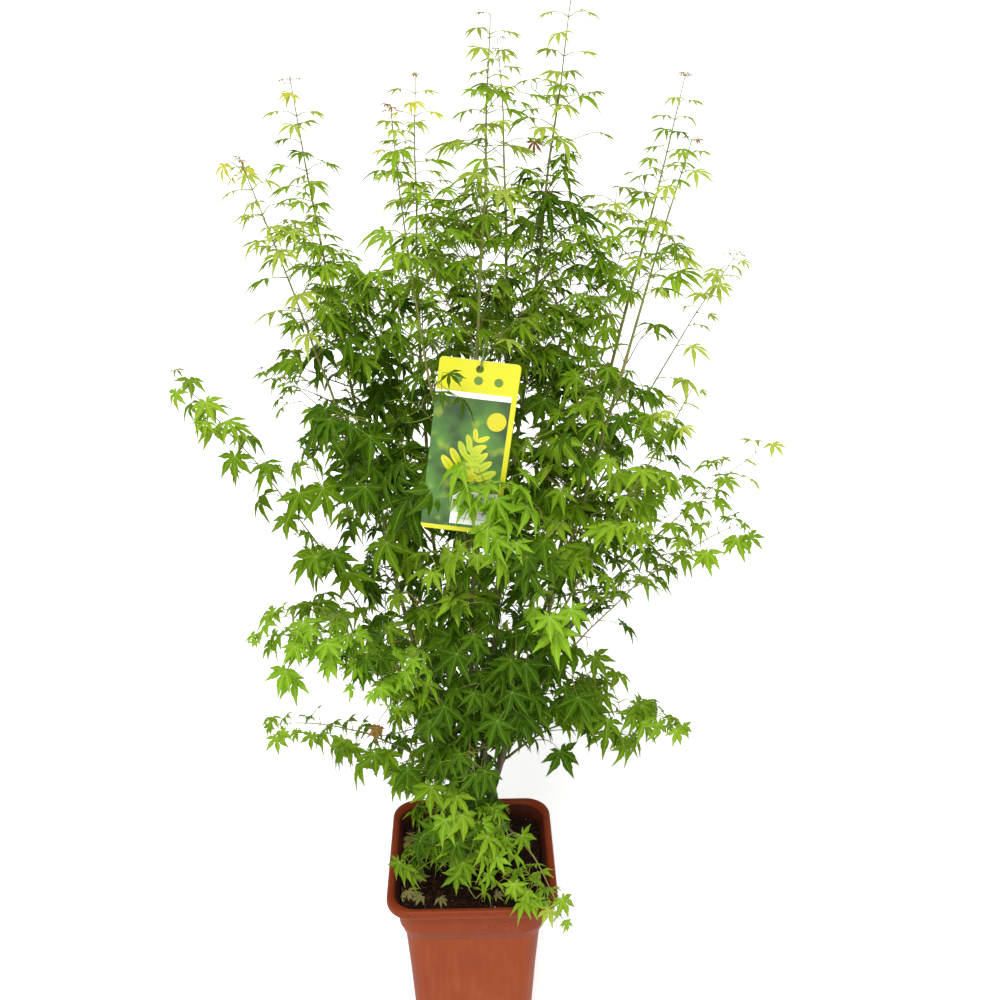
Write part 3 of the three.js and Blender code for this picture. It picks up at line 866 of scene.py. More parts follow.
def place_leaves(name, leaves, material, forms):
    """One piece of leaves, each put in its place by Geometry Nodes."""
    mesh = bpy.data.meshes.new(name)
    mesh.from_pydata([tuple(leaf.point) for leaf in leaves], [], [])
    for field, kind in LEAF_FIELDS.items():
        values = np.array([getattr(leaf, field) for leaf in leaves], int if kind == "INT" else float)
        layer = mesh.attributes.new(field, kind, "POINT")
        layer.data.foreach_set("vector" if kind == "FLOAT_VECTOR" else "value", values.ravel())
    host = put_in_scene(name, mesh)
    recipe = Recipe(f"{name}_places")
    group = recipe.ask("Forms", "NodeSocketCollection", forms)
    settings = {"Collection": group, "Separate Children": True, "Reset Children": True}
    picked = recipe.add("GeometryNodeCollectionInfo", None, settings).outputs[0]
    euler = recipe.named("turn", "FLOAT_VECTOR")
    turn = recipe.add("FunctionNodeEulerToRotation", None, {0: euler}).outputs[0]
    placed = recipe.add("GeometryNodeInstanceOnPoints", None, {
        "Points": recipe.entry.outputs["Geometry"],
        "Instance": picked,
        "Pick Instance": True,
        "Instance Index": recipe.named("form", "INT"),
        "Rotation": turn,
        "Scale": recipe.named("size", "FLOAT"),
    }).outputs[0]
    whole = recipe.add("GeometryNodeRealizeInstances", None, {0: placed}).outputs[0]
    moved = recipe.add("ShaderNodeVectorMath", {"operation": "ADD"}, {
        0: recipe.named(LEAF_MAP, "FLOAT_VECTOR"),
        1: recipe.named("tile", "FLOAT_VECTOR"),
    }).outputs[0]
    settings = {"data_type": "FLOAT2", "domain": "CORNER"}
    stored = recipe.add("GeometryNodeStoreNamedAttribute", settings, {
        "Geometry": whole, "Name": LEAF_MAP, "Value": moved}).outputs[0]
    piece = recipe.run(host, stored, material)
    drop_attributes(piece, LEAF_FIELDS)
    return piece


def draw_lines(name, lines, material, sides):
    """One piece of thin tubes along lines of (points, radii), made by Geometry Nodes."""
    points, edges, radii = [], [], []
    for some_points, some_radii in lines:
        start = len(points)
        points.extend(tuple(p) for p in some_points)
        radii.extend(some_radii)
        edges.extend((start + i, start + i + 1) for i in range(len(some_points) - 1))
    mesh = bpy.data.meshes.new(name)
    mesh.from_pydata(points, edges, [])
    layer = mesh.attributes.new("thickness", "FLOAT", "POINT")
    layer.data.foreach_set("value", np.array(radii, float))
    host = put_in_scene(name, mesh)
    recipe = Recipe(f"{name}_tubes")
    around = recipe.ask("Sides", "NodeSocketInt", sides)
    path = recipe.add("GeometryNodeMeshToCurve", None, {0: recipe.entry.outputs["Geometry"]}).outputs[0]
    sockets = {"Resolution": around, "Radius": 1.0}
    ring = recipe.add("GeometryNodeCurvePrimitiveCircle", None, sockets).outputs[0]
    thickness = recipe.named("thickness", "FLOAT")
    sockets = {"Curve": path, "Profile Curve": ring, "Scale": thickness, "Fill Caps": True}
    tube = recipe.add("GeometryNodeCurveToMesh", None, sockets).outputs[0]
    piece = recipe.run(host, tube, material)
    shade(piece)
    drop_attributes(piece, ["thickness"])
    return piece


# ---------------------------------------------------------------- growth


class Leaf:
    """One leaf: where its stalk ends, how it turns, its size, its form and its place in the leaf map."""

    def __init__(self, point, forward, normal, size, chance):
        side = unit(np.cross(forward, normal))
        face = unit(np.cross(side, forward))
        self.point = point
        self.size = size
        self.turn = tuple(Matrix(np.stack([side, forward, face], 1).tolist()).to_euler())
        slender = chance.random() < (point[2] - 0.78) * 6
        self.form = chance.randrange(FORMS // 2) + (FORMS // 2 if slender else 0)
        column, row = chance.randrange(LEAF_TILES), chance.randrange(LEAF_TILES)
        self.tile = (column / LEAF_TILES, row / LEAF_TILES, 0.0)


class Habit:
    """How a limb or side shoot carries its leaves."""

    def __init__(self, size, hang, tint, gap, bushy, taper, bare=0.0, stalk=0.8, tip=0.0):
        self.size = size * MM  # length of a middle lobe at the foot of the shoot
        self.hang = hang  # 0 for level blades, 1 for hanging ones
        self.tint = tint  # a tint for the whole spray, or None for one that suits its place
        self.gap = gap * MM  # distance from one pair of leaves to the next
        self.bushy = bushy  # share of the pairs that carry side shoots as well
        self.taper = taper  # size of the last leaf against the first
        self.bare = bare  # share of the shoot without leaves at its foot
        self.stalk = stalk  # length of a leaf's stalk against its middle lobe
        self.tip = tip  # share of the shoot at its tip that carries only buds


# The limbs that differ from the usual habit of their kind.
HABITS = {
    "left_arch": Habit(34, 0.65, "green", 34, 0.12, 0.6, 0.0, 0.7),
    "left_front": Habit(28, 0.5, "lime", 21, 0.9, 0.6),
    "left_foot": Habit(31, 0.6, "green", 26, 0.5, 0.6, 0.25),
    "left_top": Habit(30, 0.05, "spring", 23, 0.3, 0.55, tip=0.05),
    "right_top": Habit(30, 0.05, "spring", 25, 0.3, 0.6, tip=0.02),
    "right_front": Habit(27, 0.14, "bright", 24, 0.6, 0.55),
    "right_middle": Habit(32, 0.2, "bright", 24, 0.8, 0.6),
    "right_low": Habit(34, 0.3, "green", 24, 0.8, 0.6),
    "right_foot": Habit(34, 0.7, "green", 26, 0.6, 0.65, 0.15),
    "right_back": Habit(27, 0.5, "green", 24, 0.6, 0.6),
    "front_foot": Habit(31, 0.8, "green", 32, 0.1, 0.75, 0.2),
    "rim": Habit(27, 0.55, "bright", 20, 0.3, 0.62, 0.5),
}
SHOOT_HABIT = Habit(34, 0.05, None, 22, 0.6, 0.52, tip=0.05)
TWIG_HABIT = Habit(29, 0.45, None, 26, 0.0, 0.7)


# Places where the crown stays open, as seen from the front: x and height in mm where the line of sight
# crosses the plant's middle plane, and their radius.
CLEARINGS = (
    (-50, 1012, 17), (42, 1074, 19), (39, 1012, 17), (-166, 945, 18), (-172, 890, 14), (-130, 860, 14),
    (-150, 817, 16), (173, 890, 26), (144, 913, 14), (171, 932, 16), (215, 1004, 20), (242, 1028, 20),
    (136, 803, 14), (190, 850, 14), (243, 596, 29), (189, 585, 28), (163, 547, 20), (-125, 649, 14),
    (-70, 576, 12), (52, 363, 22), (-180, 652, 20), (-217, 653, 30), (116, 1100, 19), (-103, 1083, 19),
    (-33, 949, 10), (107, 957, 10), (-196, 935, 20), (-146, 500, 12), (94, 888, 8), (164, 967, 12),
    (117, 933, 9), (-21, 1091, 12), (75, 362, 22), (122, 380, 20), (166, 360, 16), (-197, 487, 14),
    (-177, 822, 16), (-153, 651, 12), (145, 876, 12), (171, 922, 14), (196, 914, 12), (178, 785, 11),
    (181, 543, 14), (164, 743, 9), (119, 1046, 16), (137, 1028, 14), (-30, 1060, 14), (-105, 1038, 12),
    (-41, 161, 15), (19, 154, 17), (141, 159, 10), (21, 970, 10), (191, 945, 11), (156, 866, 13),
    (184, 866, 8), (173, 816, 12), (124, 762, 11), (-152, 872, 11), (-178, 490, 12), (-98, 380, 12),
    (-71, 375, 9), (-182, 615, 8), (-200, 588, 8), (134, 547, 12), (-78, 554, 9), (17, 126, 13),
    (-16, 127, 13), (146, 867, 11), (199, 841, 10), (149, 788, 10), (152, 760, 9), (-159, 736, 11),
    (-181, 630, 9), (178, 616, 9), (150, 546, 16), (128, 521, 9), (-127, 382, 13), (45, 1106, 10),
    (55, 1120, 9), (-91, 561, 7), (-129, 819, 10), (-113, 648, 11), (-72, 348, 10), (48, 345, 10),
    (164, 415, 11), (-89, 554, 9), (-63, 554, 8), (213, 969, 9), (-138, 400, 10), (-112, 405, 9),
    (149, 825, 9), (-110, 707, 6), (-221, 713, 10), (172, 825, 12), (223, 796, 9), (221, 848, 9),
    (216, 897, 9), (104, 372, 13), (-225, 515, 12), (-180, 508, 9), (-120, 412, 10), (-90, 410, 10),
    (-66, 402, 9), (-95, 357, 10), (34, 362, 9), (20, 352, 8), (160, 432, 10), (173, 425, 8),
    (-185, 780, 9), (-158, 748, 9), (-140, 665, 9), (-112, 664, 8), (-89, 568, 8), (-64, 566, 8),
    (-150, 832, 9), (-128, 832, 8), (245, 655, 9), (204, 715, 8), (108, 402, 9),
)
# Sprays with a place of their own: where they end in mm, tint, leaf size, hang and length of leafy part. A
# spray's tint is partly painted shade or light: darker where that part of the crown lies in shade, lighter
# where it is lit.
SPRAYS = (
    (79, 0, 1024, "deep", 38, 0.35, 45), (66, 4, 1036, "deep", 32, 0.2, 40),
    (109, 50, 1012, "green", 30, 0.2, 50), (-112, -60, 985, "bright", 28, 0.3, 60),
    (-98, -50, 961, "green", 30, 0.4, 60), (-105, -70, 929, "deep", 32, 0.6, 60),
    (-120, -80, 950, "green", 29, 0.5, 60), (-147, -85, 798, "green", 39, 0.7, 60),
    (-87, -90, 788, "deep", 41, 0.8, 60), (-58, -100, 797, "deep", 41, 0.8, 60),
    (30, -152, 792, "lime", 33, 0.5, 60), (30, -157, 762, "lime", 36, 0.7, 60),
    (50, -150, 770, "deep", 34, 0.6, 50), (-20, -146, 905, "deep", 30, 0.5, 30),
    (-171, -160, 674, "lime", 30, 0.4, 60), (-171, -150, 630, "lime", 32, 0.6, 60),
    (-160, -110, 668, "bright", 32, 0.6, 60), (-95, -40, 443, "green", 35, 0.7, 55),
    (-110, -30, 456, "green", 34, 0.7, 50), (136, 0, 492, "green", 35, 0.7, 60),
    (163, -30, 460, "green", 35, 0.8, 60), (-3, 0, 1029, "green", 27, 0.2, 50),
    (-23, 30, 1029, "bright", 27, 0.2, 50), (81, -132, 672, "lime", 35, 0.6, 60),
    (-41, -102, 533, "deep", 38, 0.8, 50), (36, -80, 356, "green", 31, 0.8, 20),
    (20, -72, 378, "green", 32, 0.8, 30), (30, -92, 338, "lime", 28, 0.7, 30),
    (-47, -56, 362, "green", 34, 0.9, 45), (-55, -70, 332, "green", 32, 1.0, 40),
    (-34, -80, 335, "deep", 31, 1.0, 30), (-4, -86, 356, "green", 33, 0.8, 40),
    (-9, -90, 408, "bright", 35, 0.6, 25), (68, -95, 304, "bright", 28, 0.8, 30),
    (-58, -45, 400, "green", 32, 0.9, 45), (-29, -68, 394, "green", 34, 0.9, 35),
    (-4, -130, 629, "deep", 36, 0.7, 50), (119, 30, 962, "green", 28, 0.3, 50),
    (74, -20, 1085, "bronze", 26, 0.9, 0), (196, 60, 998, "gold", 26, 0.4, 0),
    (-62, -112, 663, "bronze", 32, 1.0, 0), (-98, -80, 504, "bronze", 27, 1.0, 0),
    (-13, 0, 1024, "green", 28, 0.2, 50), (132, 20, 977, "green", 30, 0.3, 50),
    (-51, -112, 801, "deep", 40, 0.8, 50), (-146, -100, 670, "green", 33, 0.5, 60),
    (-92, -100, 857, "deep", 38, 0.6, 60), (108, -80, 828, "deep", 36, 0.5, 60),
    (82, -100, 836, "bright", 35, 0.5, 50), (138, -50, 741, "green", 35, 0.5, 60),
    (125, 50, 1005, "bright", 28, 0.2, 50), (110, 30, 1117, "spring", 30, 0.0, 0),
    (113, 10, 1085, "bright", 32, 0.1, 0), (106, 0, 942, "bright", 31, 0.2, 55),
    (126, -20, 932, "green", 31, 0.2, 50), (-80, 0, 868, "deep", 39, 0.5, 60),
    (-53, -40, 860, "deep", 39, 0.5, 60), (-38, -30, 892, "green", 36, 0.4, 50),
    (-54, -80, 799, "deep", 40, 0.7, 50), (71, -60, 810, "green", 36, 0.5, 50),
    (60, -80, 792, "deep", 38, 0.6, 50), (91, -60, 773, "green", 36, 0.6, 50),
    (-93, -60, 467, "green", 36, 0.7, 50), (22, -155, 803, "lime", 34, 0.5, 40),
    (24, -152, 776, "lime", 34, 0.6, 40), (16, -155, 752, "bright", 36, 0.8, 50),
    (48, -150, 744, "deep", 35, 0.7, 50), (-190, -60, 1066, "gold", 22, 0.5, 20),
    (105, 0, 990, "green", 30, 0.2, 45), (34, 0, 1019, "bright", 28, 0.2, 45),
    (-23, -60, 1043, "bright", 28, 0.1, 45), (-21, -40, 1013, "green", 29, 0.2, 45),
    (-1, -30, 992, "green", 30, 0.2, 45), (-29, -50, 981, "bright", 30, 0.2, 45),
    (14, -60, 1051, "bright", 28, 0.1, 35), (95, 10, 1052, "green", 29, 0.1, 40),
    (146, 60, 1017, "spring", 28, 0.1, 40), (138, 30, 979, "bright", 30, 0.1, 45),
    (156, 40, 960, "green", 30, 0.1, 45), (144, 10, 929, "bright", 30, 0.2, 45),
    (-113, -20, 939, "green", 31, 0.2, 45), (-83, -40, 953, "bright", 30, 0.2, 45),
    (-111, 0, 899, "deep", 38, 0.3, 50), (-74, -50, 913, "green", 32, 0.3, 50),
    (-87, -40, 804, "deep", 39, 0.5, 50), (-100, -50, 776, "bright", 38, 0.5, 50),
    (-81, -60, 735, "green", 39, 0.6, 50), (213, 0, 757, "green", 35, 0.2, 50),
    (62, -105, 285, "bright", 28, 0.5, 25), (81, -112, 279, "lime", 26, 0.6, 20),
    (94, -60, 733, "deep", 34, 0.6, 50), (78, -40, 909, "green", 31, 0.3, 50),
    (113, -60, 842, "deep", 33, 0.4, 50), (93, 20, 1060, "green", 30, 0.1, 45),
    (-98, -60, 960, "green", 30, 0.2, 50), (-30, -40, 957, "bright", 30, 0.2, 50),
    (-13, -70, 951, "green", 31, 0.2, 50), (32, -60, 958, "deep", 32, 0.3, 50),
    (-118, -60, 984, "bright", 29, 0.2, 50), (135, -20, 937, "green", 30, 0.2, 50),
    (160, -20, 917, "bright", 30, 0.2, 45), (4, -80, 926, "green", 31, 0.3, 50),
    (-75, -40, 944, "deep", 32, 0.3, 50), (-162, -90, 720, "green", 32, 0.7, 45),
    (-134, -90, 714, "deep", 34, 0.7, 45), (243, 30, 962, "spring", 27, 0.2, 35),
    (-135, -60, 1004, "bright", 28, 0.1, 45), (22, -40, 1035, "green", 29, 0.1, 45),
    (91, 20, 1122, "bright", 27, 0.0, 35), (167, -60, 758, "green", 33, 0.3, 45),
    (155, -40, 510, "green", 34, 0.7, 45), (-174, -90, 722, "green", 33, 0.6, 45),
    (-235, -80, 845, "bright", 30, 0.5, 25), (-19, -70, 513, "deep", 36, 0.8, 45),
    (0, -60, 461, "deep", 36, 0.8, 45), (30, -70, 529, "deep", 38, 0.8, 45),
    (54, -50, 474, "deep", 36, 0.8, 45), (-41, -60, 477, "deep", 35, 0.8, 45),
    (14, -50, 418, "deep", 35, 0.8, 40), (-25, -50, 421, "deep", 34, 0.8, 40),
    (9, -80, 564, "deep", 38, 0.8, 45), (-63, -60, 524, "green", 34, 0.7, 45),
    (76, -40, 508, "deep", 34, 0.7, 45), (-69, -80, 632, "deep", 36, 0.7, 45),
    (-29, -90, 605, "deep", 37, 0.8, 45), (44, -80, 592, "deep", 38, 0.8, 45),
    (1, -100, 643, "deep", 38, 0.8, 45), (-58, -40, 428, "green", 32, 0.8, 40),
    (-2, -84, 358, "bright", 34, 0.6, 40), (20, -92, 334, "lime", 32, 0.6, 40),
    (37, -97, 303, "bright", 30, 0.7, 35), (-24, -88, 342, "green", 35, 0.7, 40),
    (-50, -80, 330, "deep", 32, 0.9, 30), (-12, -74, 385, "lime", 34, 0.5, 30),
    (10, -76, 380, "lime", 33, 0.5, 30), (-30, -74, 364, "deep", 34, 0.9, 40),
)
YOUNGER = {"deep": "green", "green": "bright", "bright": "spring"}  # a shoot's tint near its tip
FRESH_TINTS = ("lime", "spring", "gold")  # the tints of young, fresh leaves
BORE = 9 * MM  # a stem's axis lies this little outside the mass that it passes through
YOUNG_HEIGHT, PALE_LIT_HEIGHT, DARK_SHADED_HEIGHT = 0.95, 0.9, 0.6  # heights at which the crown's tints change; below the dark one they are partly painted shade, above the pale one partly painted light
FIRST_LEAF = 50 * MM  # length of bare wood at the foot of a stem
SHORTEST, LONGEST = 20 * MM, 150 * MM  # of a side shoot
WOOD_SHOOT, LEAFY_SHOOT = 120, 75  # longest side shoots in mm, of bare wood and of a leafy shoot
SPRAY_REACH, SPRAY_SLACK = 0.25, 0.08  # sprays with a place of their own may be longer and stand freer
FEWEST_LEAVES = 500  # fewer than this means that the CAD's masses of foliage were not found
END_RADIUS = 0.34 * MM  # of a twig, at its end


def lowness(height):
    """From 0 high in the crown to 1 low in it, where the leaves are larger and hang."""
    return float(np.clip((YOUNG_HEIGHT - height) / 0.45, 0, 1))


def twig_habit(low, hang, tint, taper):
    """The habit of a side shoot at a lowness."""
    return Habit(27 + 10 * low, hang + 0.4 * low, tint, 24 + 18 * low, 0, taper)


class Growth:
    """Grows side shoots, leaf stalks and leaves on the limbs, all by one seeded rule."""

    def __init__(self, settings):
        self.chance = random.Random(settings.seed)
        self.scale = settings.leaf_scale
        self.slack = settings.slack
        self.leaves = {tint: [] for tint in TINTS}
        self.owners = {tint: set() for tint in TINTS}
        self.twigs = []
        self.stalks = []
        self.eye = np.array(settings.eye)
        margin = 8 * MM  # leaves may pass the CAD's box by this much
        self.low = np.array(CAD_LOW) - margin
        self.high = np.array(CAD_HIGH) + margin

    def fits(self, point, slack):
        """Whether a point lies in or near a mass of foliage, in the plant's box and in no opening."""
        if (point < self.low).any() or (point > self.high).any() or self.cleared(point):
            return False
        return CROWN.depth(point)[0] > -slack

    def cleared(self, point):
        """Whether a point is seen from the front through one of the crown's openings."""
        share = self.eye[1] / (self.eye[1] - point[1])
        across, _, height = self.eye + (point - self.eye) * share
        return any((across - x * MM) ** 2 + (height - z * MM) ** 2 < (r * MM) ** 2 for x, z, r in CLEARINGS)

    def pick(self, *shares):
        """One of several tints, each given with the roll from 0 to 1 that its share ends at."""
        roll = self.chance.random()
        return next(tint for tint, end in shares if roll < end)

    def tint_at(self, point, share, depth):
        """A tint for a spray: young and yellow at the tips, dark deep inside and low down. The dark tints
        there are partly older leaves and partly painted shade, the paler ones high up partly painted light.
        """
        height = point[2]
        if height > YOUNG_HEIGHT and share > 0.75:
            return self.pick(("gold", 0.3), ("spring", 0.85), ("bright", 1))
        if height > YOUNG_HEIGHT and share > 0.3:
            return self.pick(("spring", 0.5), ("bright", 0.8), ("green", 1))
        # partly painted shade: deep inside and low down, most sprays get the dark tint
        if depth > 30 * MM or height < DARK_SHADED_HEIGHT:
            return self.pick(("deep", 0.86), ("green", 0.98), ("bright", 1))
        # partly painted light: high in the crown the tints are paler
        if height > PALE_LIT_HEIGHT:
            return self.pick(("green", 0.46), ("bright", 0.93), ("spring", 1))
        shaded = 0.32 + min(0.4, max(0.0, 0.82 - height) * 2)
        return self.pick(("deep", shaded), ("green", 0.84), ("bright", 0.98), ("lime", 1))

    def leaf(self, start, out, size, habit, tint, slack=None):
        """A leaf on its stalk. The blade lies level or hangs, with its upper face up and outwards."""
        chance = self.chance
        level = unit(np.array([out[0], out[1], 0.0]) + 1e-6)
        loose = 0.1 + 0.35 * min(1.0, max(0.0, habit.hang) * 2)  # hanging leaves turn more freely
        hang = min(max(habit.hang + chance.uniform(-loose, loose) * 0.7, -0.15), 1.15)
        pitch = math.radians(8 + 62 * hang)
        level = turned(level, UP, math.radians(chance.uniform(-24, 24)))
        stalk = size * habit.stalk * chance.uniform(0.75, 1.2)
        end_way = unit(level * math.cos(pitch * 0.45) - UP * math.sin(pitch * 0.45))
        middle = start + out * stalk * 0.5
        end = middle + unit(out * 0.4 + end_way) * stalk * 0.5
        forward = unit(level * math.cos(pitch) - UP * math.sin(pitch))
        normal = level * math.sin(pitch) + UP * math.cos(pitch)
        normal = turned(normal, forward, math.radians(chance.uniform(-1, 1) * (8 + 46 * loose)))
        tip = end + forward * size
        depth, owner = CROWN.depth(end)
        if not self.fits(tip, 1.0) or depth < -(self.slack if slack is None else slack):
            return False
        self.leaves[tint].append(Leaf(end, forward, normal, size, chance))
        self.owners[tint].add(owner)
        path = [start, start + out * stalk * 0.28, middle, (middle + end) / 2 - UP * stalk * 0.01, end]
        thick = 0.25 * MM + size * 0.007
        self.stalks.append((path, [thick * 1.35, thick, thick * 0.9, thick * 0.85, thick * 0.9]))
        return True

    def pair(self, point, along, turn, size, habit, tint, radius=0.0, slack=None):
        """Two leaves facing each other across a shoot; tells whether any found room."""
        level, other = square_to(along)
        grown = False
        if self.chance.random() < 0.08:
            size *= 0.7
        for side in (0.0, math.pi):
            angle = turn + side + math.radians(self.chance.uniform(-12, 12))
            away = level * math.cos(angle) + other * math.sin(angle)
            out = unit(away + along * self.chance.uniform(0.35, 0.8))
            if self.chance.random() < 0.95:
                ratio = self.chance.uniform(0.86, 1.12)
                grown |= self.leaf(point + away * radius * 0.7, out, size * ratio, habit, tint, slack)
        return grown

    def turn_of(self, number, along, first):
        """Pairs stand crosswise on upright shoots, and nearly level on lying ones."""
        steep = min(1.0, abs(along[2]) * 1.3)
        step = math.radians(28 + 62 * steep)
        return first * steep + (number % 2) * step - (1 - steep) * math.radians(14)

    def twig(self, start, along, length, habit, tint, radius, rise=0.1, slack=None):
        """A side shoot with pairs of leaves and three or so at its end."""
        chance = self.chance
        steps = max(4, int(length / (7 * MM)))
        points, way = [start], along
        for _ in range(steps):
            drift = np.array([chance.uniform(-most, most) for most in (1, 1, 0.6)])
            way = unit(way + drift * 0.1 + UP * rise * 0.12)
            points.append(points[-1] + way * length / steps)
        points = np.array(points)
        radii = np.linspace(radius, END_RADIUS, len(points))
        first, last = chance.uniform(0, math.pi), 0
        place, number = length * (habit.bare + 0.12) + habit.gap * 0.35, 0
        while place < length - 4 * MM:
            share = place / length
            index = min(int(share * steps), steps - 1)
            point = points[index] + (points[index + 1] - points[index]) * (share * steps - index)
            way = unit(points[index + 1] - points[index])
            size = habit.size * self.scale * (1 - (1 - habit.taper) * share)
            if self.pair(point, way, self.turn_of(number, way, first), size, habit, tint, 0, slack):
                last = index + 2
            place += habit.gap * (1 - 0.35 * share) * chance.uniform(0.85, 1.15)
            number += 1
        way = unit(points[-1] - points[-2])
        size = habit.size * self.scale * habit.taper
        turn = self.turn_of(number, way, first)
        if habit.bare < 1 and self.pair(points[-1], way, turn, size, habit, tint, 0, slack):
            last = len(points)
        if habit.bare >= 1 or chance.random() < 0.6:
            if self.leaf(points[-1], way, size * 0.7, habit, tint, slack):
                last = len(points)
        if last:
            self.twigs.append((points[:last], list(radii[:last])))

    def room(self, start, way, longest, shortest):
        """The longest length for a side shoot that keeps inside the masses of foliage, or None."""
        length = longest
        while length >= shortest:
            if self.fits(start + way * length, self.slack * 0.4):
                return length
            length -= 8 * MM
        return None

    def side_way(self, along, turn, spread):
        """The direction of a side shoot that leaves a limb at the angle spread."""
        level, other = square_to(along)
        away = level * math.cos(turn) + other * math.sin(turn)
        return unit(away * math.sin(spread) + along * math.cos(spread))

    def dress(self, limb, habit, first_leaf):
        """Leaves and side shoots along a limb, from the foot of its leafy part to its tip."""
        chance = self.chance
        first = chance.uniform(0, math.pi)
        place, number = first_leaf + chance.uniform(0, 20) * MM, 0
        while place < limb.length - 1 * MM:
            point, along, radius = limb.at(place)
            depth, _ = CROWN.depth(point)
            share = max(0.0, (place - limb.wood) / (limb.length - limb.wood))
            turn = self.turn_of(number, along, first)
            in_shoot = share > habit.bare
            if depth > -BORE and (in_shoot or place < limb.wood):
                tint = habit.tint or self.tint_at(point, share, depth)
                if habit.tint and chance.random() < 0.7 * (1 - share) ** 2:
                    tint = self.tint_at(point, share, depth)
                if share > 0.75:
                    tint = YOUNGER.get(tint, tint)
                size = habit.size * self.scale * (1 - (1 - habit.taper) * share)
                if share > 1 - habit.tip:
                    if chance.random() < 0.6:
                        self.pair(point, along, turn, size * 0.3, habit, "bronze", radius)
                elif share > 0:
                    self.pair(point, along, turn, size, habit, tint, radius)
                    if share < 0.75 and chance.random() < habit.bushy:
                        longest = LEAFY_SHOOT * (1 - share)
                        self.branch(point, along, turn + math.pi / 2, radius, habit, longest, tint)
                else:
                    for side in (0.0, math.pi):
                        self.branch(point, along, turn + side, radius, TWIG_HABIT, WOOD_SHOOT, None)
            below_shoot = TWIG_HABIT.gap * (1 + 0.4 * lowness(point[2]))
            gap = habit.gap * (1 - 0.45 * share) if share > 0 else below_shoot
            place += gap * chance.uniform(0.72, 1.3)
            number += 1
        point, along, radius = limb.at(limb.length)
        size = habit.size * self.scale * habit.taper * (0.45 if habit.tip else 0.8)
        tint = "bronze" if habit.tip else habit.tint or self.tint_at(point, 1.0, 0)
        self.pair(point, along, first, size, habit, tint, radius, 1.0)
        if chance.random() < 0.7:
            self.leaf(point, along, size * 0.6, habit, tint, 1.0)

    def branch(self, point, along, turn, radius, habit, longest, tint):
        """One side shoot of a limb, where the crown has room for it."""
        chance = self.chance
        spread = math.radians(chance.uniform(42, 66))
        way = self.side_way(along, turn + math.radians(chance.uniform(-20, 20)), spread)
        length = self.room(point, way, longest * MM * chance.uniform(0.7, 1.1), SHORTEST)
        if length is None:
            return
        end = point + way * length
        depth, _ = CROWN.depth(end)
        if tint is None:
            tint = self.tint_at(end, 0.0, depth)
        elif tint == "lime" and end[2] < DARK_SHADED_HEIGHT:  # low down, only the main shoot catches the light
            tint = self.pick(("green", 0.7), ("bright", 1))
        low = lowness(end[2])
        if habit is TWIG_HABIT:
            carried = twig_habit(low, 0.22, tint, 0.72)
        else:
            carried = Habit(habit.size / MM * 0.9, habit.hang, tint, 20, 0, 0.7)
        thick = min(radius * 0.5, 0.8 * MM + length * 0.005)
        self.twig(point, way, length, carried, tint, thick, chance.uniform(-0.6, 1.0) - 0.8 * low)

    def fill(self, wood, spacing):
        """Side shoots from the wood into the parts of the clumps that still stand empty.

        wood holds the points of all limbs, their radii and their directions.
        """
        chance = self.chance
        for name in FOLIAGE_NODES:
            if name.endswith("_shoot"):
                continue
            low, high = (np.array(corner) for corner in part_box(name))
            filled = [leaf.point for leaves in self.leaves.values() for leaf in leaves]
            filled = [p for p in filled if (p > low - spacing).all() and (p < high + spacing).all()]
            for _ in range(int(np.prod((high - low) / spacing) * 9)):
                target = np.array([chance.uniform(a, b) for a, b in zip(low, high)])
                depth, owner = CROWN.depth(target)
                if owner != name or depth < 6 * MM or self.cleared(target):
                    continue
                low_down = lowness(target[2])
                near = spacing * (0.6 + 0.72 * low_down)
                if filled and np.min(np.linalg.norm(np.array(filled) - target, axis=1)) < near:
                    continue
                habit = twig_habit(low_down, 0.25, self.tint_at(target, 0.0, depth), 0.75)
                before = {key: len(leaves) for key, leaves in self.leaves.items()}
                self.reach_for(target, wood, habit, 75 * MM)
                for key, leaves in self.leaves.items():
                    filled.extend(leaf.point for leaf in leaves[before[key]:])

    def reach_for(self, target, wood, habit, leafy, longest=LONGEST, slack=None):
        """A side shoot from the nearest wood below a place to that place, leafy towards its end."""
        nodes, radii, ways = wood
        below = nodes - target
        lift = 30 * MM if leafy else 10 * MM
        cost = np.linalg.norm(below, axis=1) + np.clip(below[:, 2] + lift, 0, None) * 2
        index = int(cost.argmin())
        reach = target - nodes[index]
        length = np.linalg.norm(reach)
        if 25 * MM < length < longest:
            habit.bare = max(0.0, 1 - leafy / length)
            thick = min(radii[index] * 0.5, 0.75 * MM + length * 0.005)
            way = unit(unit(reach) + 0.12 * unit(ways[index]))
            self.twig(nodes[index], way, length, habit, habit.tint, thick, -0.2, slack)


def grow_all(settings):
    """The whole crown: the limbs' own shoots, the sprays with places of their own, and the filling."""
    growth = Growth(settings)
    for name, limb in STEMS.items():
        growth.dress(limb, HABITS.get(name, SHOOT_HABIT), FIRST_LEAF)
    for name, limb in BOUGHS.items():
        growth.dress(limb, HABITS.get(name, SHOOT_HABIT), limb.wood * 0.7)
    limbs = [*STEMS.values(), *BOUGHS.values()]
    ways = [np.gradient(limb.points, axis=0) for limb in limbs]
    wood = (np.vstack([limb.points for limb in limbs]), np.concatenate([limb.radii for limb in limbs]),
            np.vstack(ways))
    for x, y, z, tint, size, hang, leafy in SPRAYS:
        habit = Habit(size, hang, tint, 22, 0, 0.8)
        growth.reach_for(np.array([x, y, z]) * MM, wood, habit, leafy * MM, SPRAY_REACH, SPRAY_SLACK)
    growth.fill(wood, settings.spacing)
    return growth


# ---------------------------------------------------------------- wood


